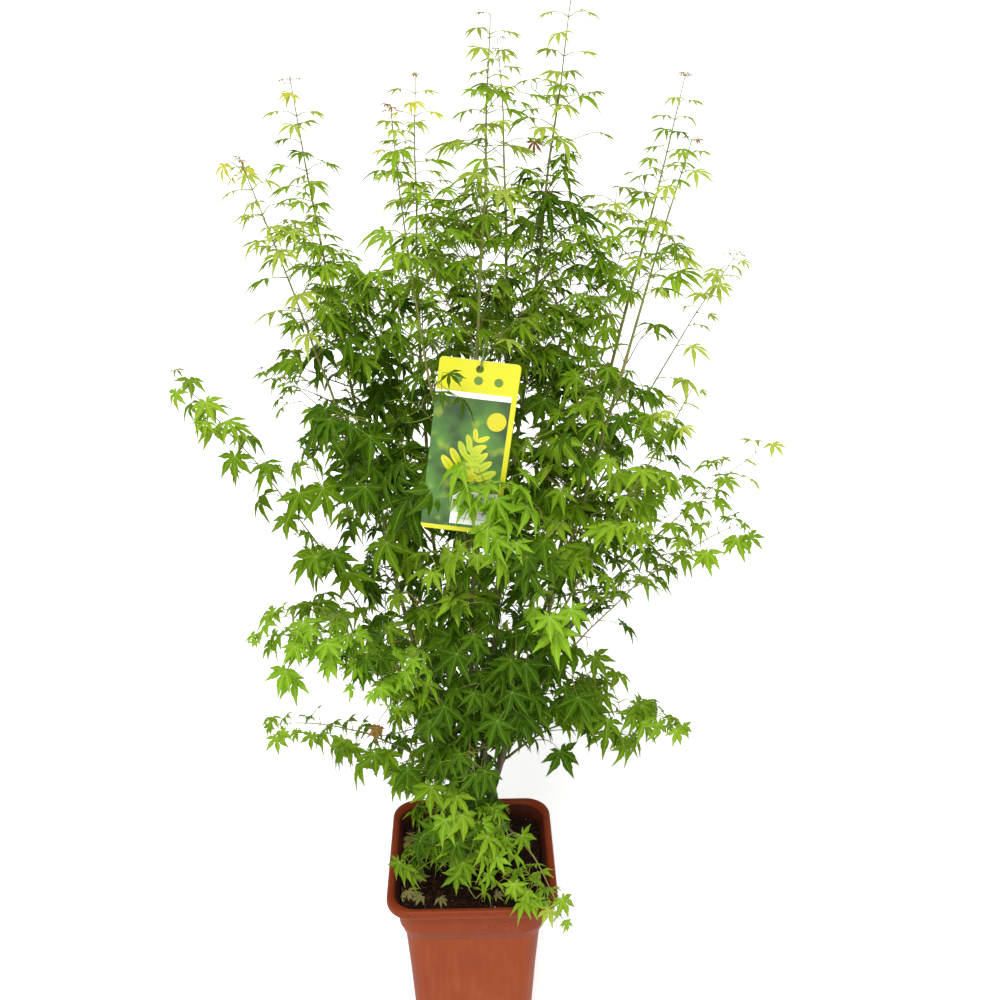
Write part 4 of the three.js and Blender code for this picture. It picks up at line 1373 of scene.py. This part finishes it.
def tube_rings(points, radii, sides, relief):
    """Rings of points round a path. relief(angle, distance, radius) is added to their radius."""
    tangents = np.gradient(points, axis=0)
    tangents /= np.linalg.norm(tangents, axis=1)[:, None]
    level, other = square_to(tangents[0])
    distance = 0.0
    rings = []
    for i, (point, tangent, radius) in enumerate(zip(points, tangents, radii)):
        if i:
            distance += np.linalg.norm(point - points[i - 1])
            level = unit(level - tangent * np.dot(level, tangent))
            other = np.cross(level, tangent)
        ring = []
        for k in range(sides):
            angle = 2 * math.pi * k / sides
            away = level * math.cos(angle) + other * math.sin(angle)
            ring.append(point + away * (radius + relief(angle, distance, radius)))
        rings.append(ring)
    return np.array(rings)


def bark_relief(seed, gap):
    """Shallow ridges along the wood, dents, and a swollen ring wherever a pair of leaves once stood."""
    def relief(angle, distance, radius):
        ridge = rough((3 * math.cos(angle), 3 * math.sin(angle), distance * 22), 1.0, seed)
        dent = rough((math.cos(angle), math.sin(angle), distance * 120), 1.6, seed + 5)
        from_ring = abs((distance + seed * 0.011) % gap - gap / 2)
        swelling = math.exp(-(from_ring / (2.4 * MM)) ** 2)
        return radius * (0.09 * ridge + 0.05 * dent + 0.2 * swelling)
    return relief


def young_wood(piece, points_per_limb):
    """Stores how young the wood is, from 0 at the plant's foot to 1 in thin tips."""
    layer = piece.data.attributes.new("young", "FLOAT", "POINT")
    layer.data.foreach_set("value", np.array(points_per_limb, float))


def make_limbs(name, limbs, sides, gap, material):
    """One piece with the bark of all these limbs. gap is the distance from one swollen ring to the next."""
    parts, youth = [], []
    for number, limb in enumerate(limbs.values()):
        relief = bark_relief(3.1 * number + sides, gap)
        rings = tube_rings(limb.points, limb.radii, sides, relief)
        parts.append(skin_rings(rings))
        for radius, point in zip(limb.radii, limb.points):
            thin = np.clip((3.6 * MM - radius) / (2.6 * MM), 0, 1)
            high = np.clip((point[2] - 0.35) / 0.8, 0, 1)
            youth.extend([0.65 * thin + 0.35 * high] * sides)
    piece = make_piece(name, *join_parts(parts), material)
    young_wood(piece, youth)
    return piece


def make_trunk(material):
    """A short fluted trunk, flared at the soil, with a domed head that the stems grow from."""
    low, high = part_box("trunk")
    centre = np.array([(low.x + high.x) / 2, (low.y + high.y) / 2])
    foot, top = (high.x - low.x) / 2, high.z - low.z
    sides, rings = 48, []
    side = np.linspace(0, 0.82, 22)
    head = 1 - 0.18 * (1 - np.linspace(0, 0.98, 9)[1:]) ** 1.6
    for share in np.concatenate([side, head]):
        flare = 0.66 + 0.34 * math.exp(-share * 6) + 0.05 * share
        dome = math.sqrt(max(0.0, 1 - max(0.0, (share - 0.8) / 0.2) ** 2))
        ring = []
        for k in range(sides):
            angle = 2 * math.pi * k / sides
            flute = 1 + 0.07 * math.sin(7 * angle + 1.3 * share) * (0.4 + share)
            grain = 0.05 * rough((2 * math.cos(angle), 2 * math.sin(angle), share * 3), 1.5)
            radius = foot * 0.95 * flare * (flute + grain) * max(dome, 0.12)
            ring.append((centre[0] + radius * math.cos(angle), centre[1] + radius * math.sin(angle),
                         low.z + share * top))
        rings.append(ring)
    piece = make_piece("trunk_bark", *skin_rings(rings), material)
    face_outwards(piece)
    young_wood(piece, [0.0] * len(piece.data.vertices))
    return piece


# ---------------------------------------------------------------- pot and soil


def square_ring(half, radius, height, sides=6, corner=14):
    """A square outline with round corners: corner steps round each of them, sides steps along each side."""
    radius = min(radius, half * 0.98)
    points = []

    def round_point(turn, angle):
        x = math.cos(turn + math.pi / 4) * math.sqrt(2) * (half - radius) + radius * math.cos(angle)
        y = math.sin(turn + math.pi / 4) * math.sqrt(2) * (half - radius) + radius * math.sin(angle)
        return x, y

    for quarter in range(4):
        turn = quarter * math.pi / 2
        for i in range(corner + 1):
            points.append((*round_point(turn, turn + math.pi / 2 * i / corner), height))
        start = points[-1][:2]
        turn += math.pi / 2
        end = round_point(turn, turn)
        for i in range(1, sides):
            x, y = (a + (b - a) * i / sides for a, b in zip(start, end))
            points.append((x, y, height))
    return points


# The pot's section, outer face from the floor up and then the inner face down: half width, height,
# and radius of the corners, in mm.
OUTSIDE = (
    (64, 0, 17), (66, 0.3, 17.5), (67.6, 1.2, 18), (68.6, 2.8, 18.5), (72, 60, 19), (75.5, 125, 20),
    (79.6, 186, 21), (80.1, 190.2, 21.2), (81.3, 191.2, 21.6), (81.7, 192.6, 21.8), (82.3, 194, 22),
    (84.4, 202.5, 24), (86.2, 204.2, 26), (86.6, 206, 26.5), (87.1, 222, 26.5), (87.4, 234.2, 27),
    (87.9, 236, 27.3), (90.5, 236.9, 28), (96.6, 237.3, 29), (98.6, 238.2, 29.5), (99.6, 240.2, 29.8),
    (99.9, 243, 30), (99.8, 246, 29.8), (99.0, 248.3, 29.5), (97.4, 249.6, 29), (95.6, 250, 28.5),
    (93.4, 249.5, 28), (92.0, 248.2, 27.5), (90.6, 245, 27), (88.3, 240.5, 26),
)
FLOOR = 2.8  # thickness of the pot's floor in mm
INSIDE = (
    (85.6, 235, 25), (84.9, 222, 24.5), (82.4, 204, 22.5), (78.6, 190, 19.5), (73, 100, 17), (67, FLOOR, 15),
)
DRAINS, DRAIN_RING, DRAIN_RADIUS = 6, 46 * MM, 6 * MM  # drain holes, and how far out they lie
INNER_TOP, INNER_HALF = 0.243, 0.0895  # the inner face's paint starts below and within these
SOIL_TOP = 0.2325  # height of the soil's level surface
SOIL_LOWEST = 0.2285  # bits are strewn only above this height
SOIL_AREA = 0.026  # square metres that they are dealt over


def make_pot(paint, shaded_inner_paint):
    """The whole pot as one shell, its drain holes cut through the floor."""
    rings = [square_ring(half * MM, corner * MM, z * MM) for half, z, corner in OUTSIDE + INSIDE]
    floor_in = [square_ring(half * MM, half * 0.5 * MM, FLOOR * MM) for half in (40, 14)]
    floor_out = [square_ring(half * MM, half * 0.5 * MM, 0.0) for half in (14, 40)]
    pot = make_piece("pot_shell", *skin_rings(floor_out + rings + floor_in), paint)
    face_outwards(pot)
    cutters = []
    for i in range(DRAINS):
        angle = math.pi * 2 / DRAINS * i + math.pi / DRAINS
        x, y = DRAIN_RING * math.cos(angle), DRAIN_RING * math.sin(angle)
        cutters.append(skin_rings([circle(x, y, z, DRAIN_RADIUS) for z in (-0.01, 0.012)]))
    cutter = make_piece("drain_cutters", *join_parts(cutters), paint)
    cut = pot.modifiers.new("drain_holes", "BOOLEAN")
    cut.operation = "DIFFERENCE"
    cut.object = cutter
    cut.solver = "EXACT"
    bake_modifiers(pot)
    bpy.data.objects.remove(cutter)
    paint_all(pot, paint, shaded_inner_paint)
    for polygon in pot.data.polygons:
        centre, normal = polygon.center, polygon.normal
        level = Vector((centre.x, centre.y, 0))
        facing_in = level.length > 1e-6 and normal.dot(level.normalized()) < -0.2
        inside = centre.z < INNER_TOP and max(abs(centre.x), abs(centre.y)) < INNER_HALF
        floor = normal.z > 0.5 and centre.z < 0.01
        polygon.material_index = 1 if inside and (facing_in or floor) else 0
        polygon.use_smooth = abs(normal.z) < 0.98 or centre.z > 0.1
    return pot


def soil_height(x, y):
    """The soil's surface: low mounds, a rise round the trunk, and crumbs."""
    swell = 2.2 * rough((x, y, 0), 22, 3) + 1.3 * rough((x, y, 0), 70, 5)
    crumb = 1.1 * rough((x, y, 0), 210, 7) + 0.6 * rough((x, y, 0), 480, 9)
    mound = 3.0 * math.exp(-(x * x + y * y) / 0.0016)
    return SOIL_TOP + (swell + crumb + mound) * MM


def make_soil(material):
    """A block of soil with a rough top, filling the pot."""
    outline = np.array(square_ring(83.2 * MM, 22 * MM, 0.0, 22, 14))
    rings = []
    for half, z in ((66, 10), (72, 100), (78, 190), (81.6, 212), (83, 226)):
        rings.append(square_ring(half * MM, half * 0.26 * MM, z * MM, 22, 14))
    for share in np.linspace(1, 0.012, 62):
        rings.append([(x * share, y * share, soil_height(x * share, y * share)) for x, y, _ in outline])
    return make_piece("soil_bed", *skin_rings(rings), material)


def scatter_bits(name, shape, count, seed, sizes, stretch, lift, material, soil):
    """Small bits lying on the soil, put there by Geometry Nodes."""
    host = put_in_scene(name, soil.data.copy())
    bit = bpy.data.objects.new(f"{name}_shape", shape)
    recipe = Recipe(f"{name}_scatter")
    number = recipe.ask("Seed", "NodeSocketInt", seed)
    density = recipe.ask("Density", "NodeSocketFloat", count / SOIL_AREA)
    place = recipe.add("GeometryNodeInputPosition").outputs[0]
    height = recipe.add("ShaderNodeSeparateXYZ", None, {0: place}).outputs[2]
    sockets = {0: height, 1: SOIL_LOWEST}
    on_top = recipe.add("ShaderNodeMath", {"operation": "GREATER_THAN"}, sockets).outputs[0]
    strewn = recipe.add("GeometryNodeDistributePointsOnFaces", None, {
        "Mesh": recipe.entry.outputs["Geometry"],
        "Selection": on_top,
        "Density": density,
        "Seed": number,
    })
    low, high = sizes

    def dealt(start, end, step):
        settings = {"data_type": "FLOAT_VECTOR"}
        sockets = {0: start, 1: end, "Seed": seed + step}
        return recipe.add("FunctionNodeRandomValue", settings, sockets).outputs[0]

    turn = recipe.add("FunctionNodeEulerToRotation", None, {
        0: dealt((-0.5, -0.5, 0.0), (0.5, 0.5, 6.28), 1)}).outputs[0]
    size = dealt(tuple(low * s * MM for s in stretch), tuple(high * s * MM for s in stretch), 2)
    given = recipe.add("GeometryNodeObjectInfo", None, {"Object": bit}).outputs["Geometry"]
    placed = recipe.add("GeometryNodeInstanceOnPoints", None, {
        "Points": strewn.outputs["Points"],
        "Instance": given,
        "Rotation": turn,
        "Scale": size,
    }).outputs[0]
    raised = recipe.add("GeometryNodeTranslateInstances", None, {
        "Instances": placed, "Translation": (0, 0, lift * MM), "Local Space": False}).outputs[0]
    piece = recipe.run(host, raised, material)
    bpy.data.objects.remove(bit)
    return piece


def lump(name, seed):
    """A small uneven lump, 1 across."""
    shape = bmesh.new()
    bmesh.ops.create_icosphere(shape, subdivisions=1, radius=0.5)
    for vertex in shape.verts:
        vertex.co *= 1 + 0.32 * rough(vertex.co, 2.6, seed)
    mesh = bpy.data.meshes.new(name)
    shape.to_mesh(mesh)
    shape.free()
    return mesh


# Where dried leaves lie on the soil, and their size, in mm.
FALLEN = (
    (-70, 40, 27), (-76, -52, 20), (-60, -60, 17), (-68, -30, 22),
    (-38, -64, 15), (28, -60, 13), (62, 30, 12),
)


def fallen_leaves(count, seed):
    """Dried leaves on the soil, most of them at the left where the drooping shoot sheds them."""
    chance = random.Random(seed)
    fallen = []
    for x, y, size in FALLEN[:count]:
        point = np.array([x * MM, y * MM, soil_height(x * MM, y * MM) + 5 * MM])
        turn = chance.uniform(0, 2 * math.pi)
        forward = unit(np.array([math.cos(turn), math.sin(turn), chance.uniform(-0.1, 0.15)]))
        normal = unit(np.array([chance.uniform(-0.3, 0.3), chance.uniform(-0.4, 0.1), 1.0]))
        fallen.append(Leaf(point, forward, normal, size * MM, chance))
    return fallen


# ---------------------------------------------------------------- label


def card_face(wide, tall):
    """The label's flat face from half its width and height: points, faces, and the edges of its rims."""
    corner, hole, hole_drop = 4 * MM, 3.5 * MM, 8 * MM
    shape = bmesh.new()
    outline = []
    for cx, cy, turn in ((1, 1, 0), (-1, 1, 1), (-1, -1, 2), (1, -1, 3)):
        for i in range(9):
            angle = math.pi / 2 * (turn + i / 8)
            outline.append((cx * (wide - corner) + corner * math.cos(angle),
                            cy * (tall - corner) + corner * math.sin(angle), 0))
    for loop in (outline, circle(0, tall - hole_drop, 0, hole)):
        verts = [shape.verts.new(point) for point in loop]
        for a, b in zip(verts, verts[1:] + verts[:1]):
            shape.edges.new((a, b))
    bmesh.ops.triangle_fill(shape, edges=shape.edges, use_beauty=True)
    for way, half, strips in ((Vector((1, 0, 0)), wide, 12), (Vector((0, 1, 0)), tall, 24)):
        for level in np.linspace(-half, half, strips + 1)[1:-1]:
            geometry = shape.verts[:] + shape.edges[:] + shape.faces[:]
            bmesh.ops.bisect_plane(shape, geom=geometry, plane_co=way * level, plane_no=way, dist=1e-6)
    shape.verts.ensure_lookup_table()
    points = [tuple(v.co[:2]) for v in shape.verts]
    faces = [tuple(v.index for v in f.verts) for f in shape.faces]
    if shape.faces[:][0].normal.z < 0:
        faces = [tuple(reversed(f)) for f in faces]
    rims = [tuple(v.index for v in e.verts) for e in shape.edges if len(e.link_faces) == 1]
    shape.free()
    return points, faces, rims


def make_card(material, back):
    """The label: a bent card with round corners and a hole for its cord, in the place of the CAD one."""
    points, _ = node_shape("label")
    axes = np.linalg.svd(points - points.mean(0), full_matrices=False)[2]
    up, across = axes[0] * np.sign(axes[0][2]), axes[1] * np.sign(axes[1][0])
    face = np.cross(across, up)
    face *= -np.sign(face[1])
    placed = points @ np.array([across, up, face]).T
    low, high = placed.min(0), placed.max(0)
    wide, tall = (high - low)[:2] / 2
    thick = (high - low)[2] * 0.7
    middle = (high + low) / 2
    centre = across * middle[0] + up * middle[1] + face * middle[2]
    flat, front, rims = card_face(wide, tall)
    count = len(flat)
    solid = []
    for side in (0.5, -0.5):
        for x, y in flat:
            bend = 0.55 * MM * ((x / wide) ** 2 - 0.4) + 0.25 * MM * (x / wide) * (y / tall)
            solid.append(centre + across * x + up * y + face * (thick * side - bend))
    faces = front + [tuple(reversed([i + count for i in f])) for f in front]
    faces.extend((a, b, b + count, a + count) for a, b in rims)
    card = make_piece("label_card", solid, faces, material, smooth=False)
    card.data.materials.append(back)
    face_outwards(card)
    flat_map = card.data.uv_layers.new(name="print")
    for polygon in card.data.polygons:
        polygon.material_index = 0 if np.dot(np.array(polygon.normal), face) > 0.5 else 1
        for index in polygon.loop_indices:
            x, y = flat[card.data.loops[index].vertex_index % count]
            flat_map.data[index].uv = ((x / wide + 1) / 2, (y / tall + 1) * tall / wide / 2)
    return card


def make_tie(material):
    """The label's cord, rounded off from the CAD one."""
    tie = put_in_scene("tie_loop", frame["nodes"]["label_tie"].data.copy())
    shape = bmesh.new()
    shape.from_mesh(tie.data)
    bmesh.ops.remove_doubles(shape, verts=shape.verts, dist=2e-5)
    bmesh.ops.join_triangles(shape, faces=shape.faces, angle_face_threshold=0.6, angle_shape_threshold=0.9)
    shape.to_mesh(tie.data)
    shape.free()
    tie.modifiers.new("round", "SUBSURF").levels = 2
    bake_modifiers(tie)
    shade(tie)
    paint_all(tie, material)
    face_outwards(tie)
    return tie


# ---------------------------------------------------------------- add-on


CAMERA_PLACE = (0.004, -1.08, 1.21)  # the crown's openings are seen from there as well
FLOOR_CORNERS = ((-200, -60, 0), (200, -60, 0), (200, 400, 0), (-200, 400, 0))
WHITE = (1, 1, 1, 1)


def length_field(name, description, default):
    return FloatProperty(name=name, description=description, default=default, subtype="DISTANCE",
                         unit="LENGTH")


def number_field(name, description, default):
    return FloatProperty(name=name, description=description, default=default)


def angle_field(name, description, degrees):
    return FloatProperty(name=name, description=description, default=math.radians(degrees), subtype="ANGLE",
                         unit="ROTATION")


def count_field(name, description, default, least):
    return IntProperty(name=name, description=description, default=default, min=least)


def place_field(name, description):
    return FloatVectorProperty(name=name, description=description, default=CAMERA_PLACE,
                               subtype="TRANSLATION", unit="LENGTH")


class MapleCrownSettings(bpy.types.PropertyGroup):
    """How the crown grows."""

    seed: count_field("Seed", "Start of the growth's random numbers", 11, 0)
    leaf_scale: number_field("Leaf Scale", "Size of the leaves against the usual one", 1.0)
    slack: length_field("Slack", "How far a leaf's stalk may end outside the crown's masses", 0.014)
    spacing: length_field("Spacing", "Distance between leaves in the filled parts of the crown", 0.034)
    eye: place_field("Eye", "Where the crown's openings are seen from")
    stalk_sides: count_field("Stalk Sides", "Sides of a leaf's stalk", 4, 3)


class MapleWoodSettings(bpy.types.PropertyGroup):
    """How the bark is made."""

    stem_sides: count_field("Stem Sides", "Points round a stem", 14, 6)
    bough_sides: count_field("Bough Sides", "Points round a bough", 10, 5)
    node_gap: length_field("Node Gap", "Distance between swollen rings of old leaf pairs", 0.034)


class MapleSoilSettings(bpy.types.PropertyGroup):
    """What lies on the soil."""

    seed: count_field("Seed", "Start of the scatter's random numbers", 5, 0)
    crumbs: count_field("Crumbs", "Crumbs of soil", 1500, 0)
    chips: count_field("Chips", "Fibres and chips of bark", 260, 0)
    grits: count_field("Grits", "Pale grains", 60, 0)
    fallen: count_field("Fallen Leaves", "Dried leaves on the soil", 7, 0)


class MapleStageSettings(bpy.types.PropertyGroup):
    """The camera, floor and light."""

    camera_place: place_field("Camera Place", "Where the camera stands")
    camera_pitch: angle_field("Camera Pitch", "How far the camera looks down", 24.4)
    camera_yaw: angle_field("Camera Yaw", "How far the camera looks to the right", 1.6)
    camera_lens: number_field("Lens", "Focal length in millimetres on a 36 mm sensor", 40.7)
    key_strength: number_field("Key", "Strength of the soft light from above the camera", 3.45)
    floor_glow: number_field("Floor Glow", "Light that comes up from the lit studio floor", 0.38)
    sky: number_field("Sky", "Strength of the light from all round", 0.46)


class MAPLE_OT_wood(bpy.types.Operator):
    """Make the trunk, stems and boughs with their bark"""

    bl_idname = "maple.wood"
    bl_label = "Make Wood"

    def execute(self, context):
        settings = context.scene.maple_wood
        bark = paint_bark()
        settle(make_trunk(bark), "bark", "trunk")
        stems = make_limbs("stem_bark", STEMS, settings.stem_sides, settings.node_gap, bark)
        settle(stems, "bark", *STEM_NODES)
        boughs = make_limbs("bough_bark", BOUGHS, settings.bough_sides, settings.node_gap * 0.8, bark)
        settle(boughs, "bark", *BOUGH_NODES)
        return {"FINISHED"}


class MAPLE_OT_crown(bpy.types.Operator):
    """Grow the side shoots, leaf stalks and leaves on the limbs"""

    bl_idname = "maple.crown"
    bl_label = "Grow Crown"

    def execute(self, context):
        settings = context.scene.maple_crown
        growth = grow_all(settings)
        total = sum(len(leaves) for leaves in growth.leaves.values())
        if total < FEWEST_LEAVES:
            raise RuntimeError(f"the crown has only {total} leaves")
        forms = make_forms(settings.seed + 1)
        twig_paint = paint_twig("twig", "5E7022", "64522A")
        settle(draw_lines("twigs", growth.twigs, twig_paint, 6), "bark", *FOLIAGE_NODES)
        stalk_paint = paint_twig("leaf_stalk", "769228", "867836")
        stalks = draw_lines("leaf_stalks", growth.stalks, stalk_paint, settings.stalk_sides)
        settle(stalks, "foliage", *FOLIAGE_NODES)
        for tint, leaves in growth.leaves.items():
            if leaves:
                paint = paint_leaf(f"leaf_{tint}", **TINTS[tint])
                piece = place_leaves(f"leaves_{tint}", leaves, paint, forms)
                slot = "fresh_foliage" if tint in FRESH_TINTS else "foliage"
                settle(piece, slot, *sorted(growth.owners[tint]))
        drop_forms(forms)
        return {"FINISHED"}


class MAPLE_OT_pot(bpy.types.Operator):
    """Make the pot"""

    bl_idname = "maple.pot"
    bl_label = "Make Pot"

    def execute(self, context):
        settle(make_pot(paint_pot(), paint_inner_pot()), "pot_plastic", "pot")
        return {"FINISHED"}


class MAPLE_OT_soil(bpy.types.Operator):
    """Fill the pot with soil and strew it with crumbs, chips and dried leaves"""

    bl_idname = "maple.soil"
    bl_label = "Fill Soil"

    def execute(self, context):
        settings = context.scene.maple_soil
        # The near-black colours of the soil and its crumbs are partly the soil's own dark brown, partly
        # painted shade of the crown and the pot.
        bed = settle(make_soil(paint_soil("potting_soil", "050201", "1E0D06", 160)), "soil", "soil")
        earth = paint_soil("soil_crumb", "090402", "30170B", 300)
        fibre = paint_soil("soil_chip", "2A1208", "6A3C22", 220)
        grit = paint_soil("soil_grit", "6C6453", "C4BEAC", 260)
        kinds = (
            ("soil_crumbs", settings.crumbs, (1.8, 6.5), (1, 1, 0.8), 0.4, earth),
            ("soil_chips", settings.chips, (0.6, 1.4), (1, 7, 0.8), 1.6, fibre),
            ("soil_grits", settings.grits, (0.7, 1.7), (1, 1.2, 0.9), 1.6, grit),
        )
        for step, (name, count, sizes, stretch, lift, material) in enumerate(kinds):
            shape, seed = lump(name, step + 1.0), settings.seed + 10 * step
            bits = scatter_bits(name, shape, count, seed, sizes, stretch, lift, material, bed)
            settle(bits, "soil", "soil")
        forms = make_forms(settings.seed)
        fallen = fallen_leaves(settings.fallen, settings.seed)
        paint = paint_leaf("dry_leaf", **TINTS["dry"])
        settle(place_leaves("fallen_leaves", fallen, paint, forms), "soil", "soil")
        drop_forms(forms)
        return {"FINISHED"}


class MAPLE_OT_label(bpy.types.Operator):
    """Make the label and the cord that it hangs by"""

    bl_idname = "maple.label"
    bl_label = "Make Label"

    def execute(self, context):
        settle(make_card(paint_label(), paint_card_back()), "label_card", "label")
        settle(make_tie(paint_cord()), "tie_cord", "label_tie")
        return {"FINISHED"}


class MAPLE_OT_stage(bpy.types.Operator):
    """Set up the floor, light and camera"""

    bl_idname = "maple.stage"
    bl_label = "Set Stage"

    def execute(self, context):
        scene, settings = context.scene, context.scene.maple_stage
        paint = Paint("studio_floor")
        tone = paint.mix(paint.noise(2.0, None, 2), "F4F4F2", "FAFAF9")
        glow = {"Emission Color": WHITE, "Emission Strength": settings.floor_glow}
        white = paint.finish({"Base Color": tone, "Roughness": 0.9, **glow})
        floor = make_piece("studio_floor", FLOOR_CORNERS, [(0, 1, 2, 3)], white)
        lamp = bpy.data.lights.new("key_light", "SUN")
        lamp.energy, lamp.angle = settings.key_strength, math.radians(32)
        light = put_in_scene("key_light", lamp)
        light.rotation_euler = (math.radians(40), math.radians(-7), 0)
        world = bpy.data.worlds.new("studio")
        world.use_nodes = True
        world.node_tree.nodes.clear()
        sky = Tree(world.node_tree)
        around, seen = (sky.add("ShaderNodeBackground", None, {"Color": WHITE, "Strength": strength})
                        for strength in (settings.sky, 1.0))
        from_camera = sky.add("ShaderNodeLightPath").outputs["Is Camera Ray"]
        sockets = {0: from_camera, 1: around.outputs[0], 2: seen.outputs[0]}
        both = sky.add("ShaderNodeMixShader", None, sockets).outputs[0]
        sky.add("ShaderNodeOutputWorld", None, {"Surface": both})
        scene.world = world
        lens = bpy.data.cameras.new("camera")
        lens.lens, lens.sensor_width = settings.camera_lens, 36.0
        lens.dof.use_dof = False
        camera = put_in_scene("camera", lens)
        camera.location = settings.camera_place
        camera.rotation_euler = (math.pi / 2 - settings.camera_pitch, 0, -settings.camera_yaw)
        scene.camera = camera
        scene.view_settings.view_transform = "Standard"
        return {"FINISHED"}


GROUPS = {
    "maple_crown": MapleCrownSettings,
    "maple_wood": MapleWoodSettings,
    "maple_soil": MapleSoilSettings,
    "maple_stage": MapleStageSettings,
}
OPERATORS = (MAPLE_OT_stage, MAPLE_OT_pot, MAPLE_OT_soil, MAPLE_OT_wood, MAPLE_OT_crown, MAPLE_OT_label)


class MAPLE_PT_panel(bpy.types.Panel):
    """Lists the steps that build the maple, and their settings"""

    bl_idname = "MAPLE_PT_panel"
    bl_label = "Potted Maple"
    bl_space_type = "VIEW_3D"
    bl_region_type = "UI"
    bl_category = "Maple"

    def draw(self, context):
        for operator in OPERATORS:
            self.layout.operator(operator.bl_idname)
            name = operator.bl_idname.replace(".", "_")
            if name in GROUPS:
                for field in GROUPS[name].__annotations__:
                    self.layout.prop(getattr(context.scene, name), field)


def register():
    for group in (*GROUPS.values(), *OPERATORS, MAPLE_PT_panel):
        bpy.utils.register_class(group)
    for name, group in GROUPS.items():
        setattr(bpy.types.Scene, name, bpy.props.PointerProperty(type=group))


def unregister():
    for name in GROUPS:
        delattr(bpy.types.Scene, name)
    for group in reversed((*GROUPS.values(), *OPERATORS, MAPLE_PT_panel)):
        bpy.utils.unregister_class(group)


def main():
    register()
    bpy.ops.maple.stage()
    bpy.ops.maple.pot()
    bpy.ops.maple.soil()
    bpy.ops.maple.wood()
    bpy.ops.maple.crown()
    bpy.ops.maple.label()


if __name__ == "__main__":
    main()
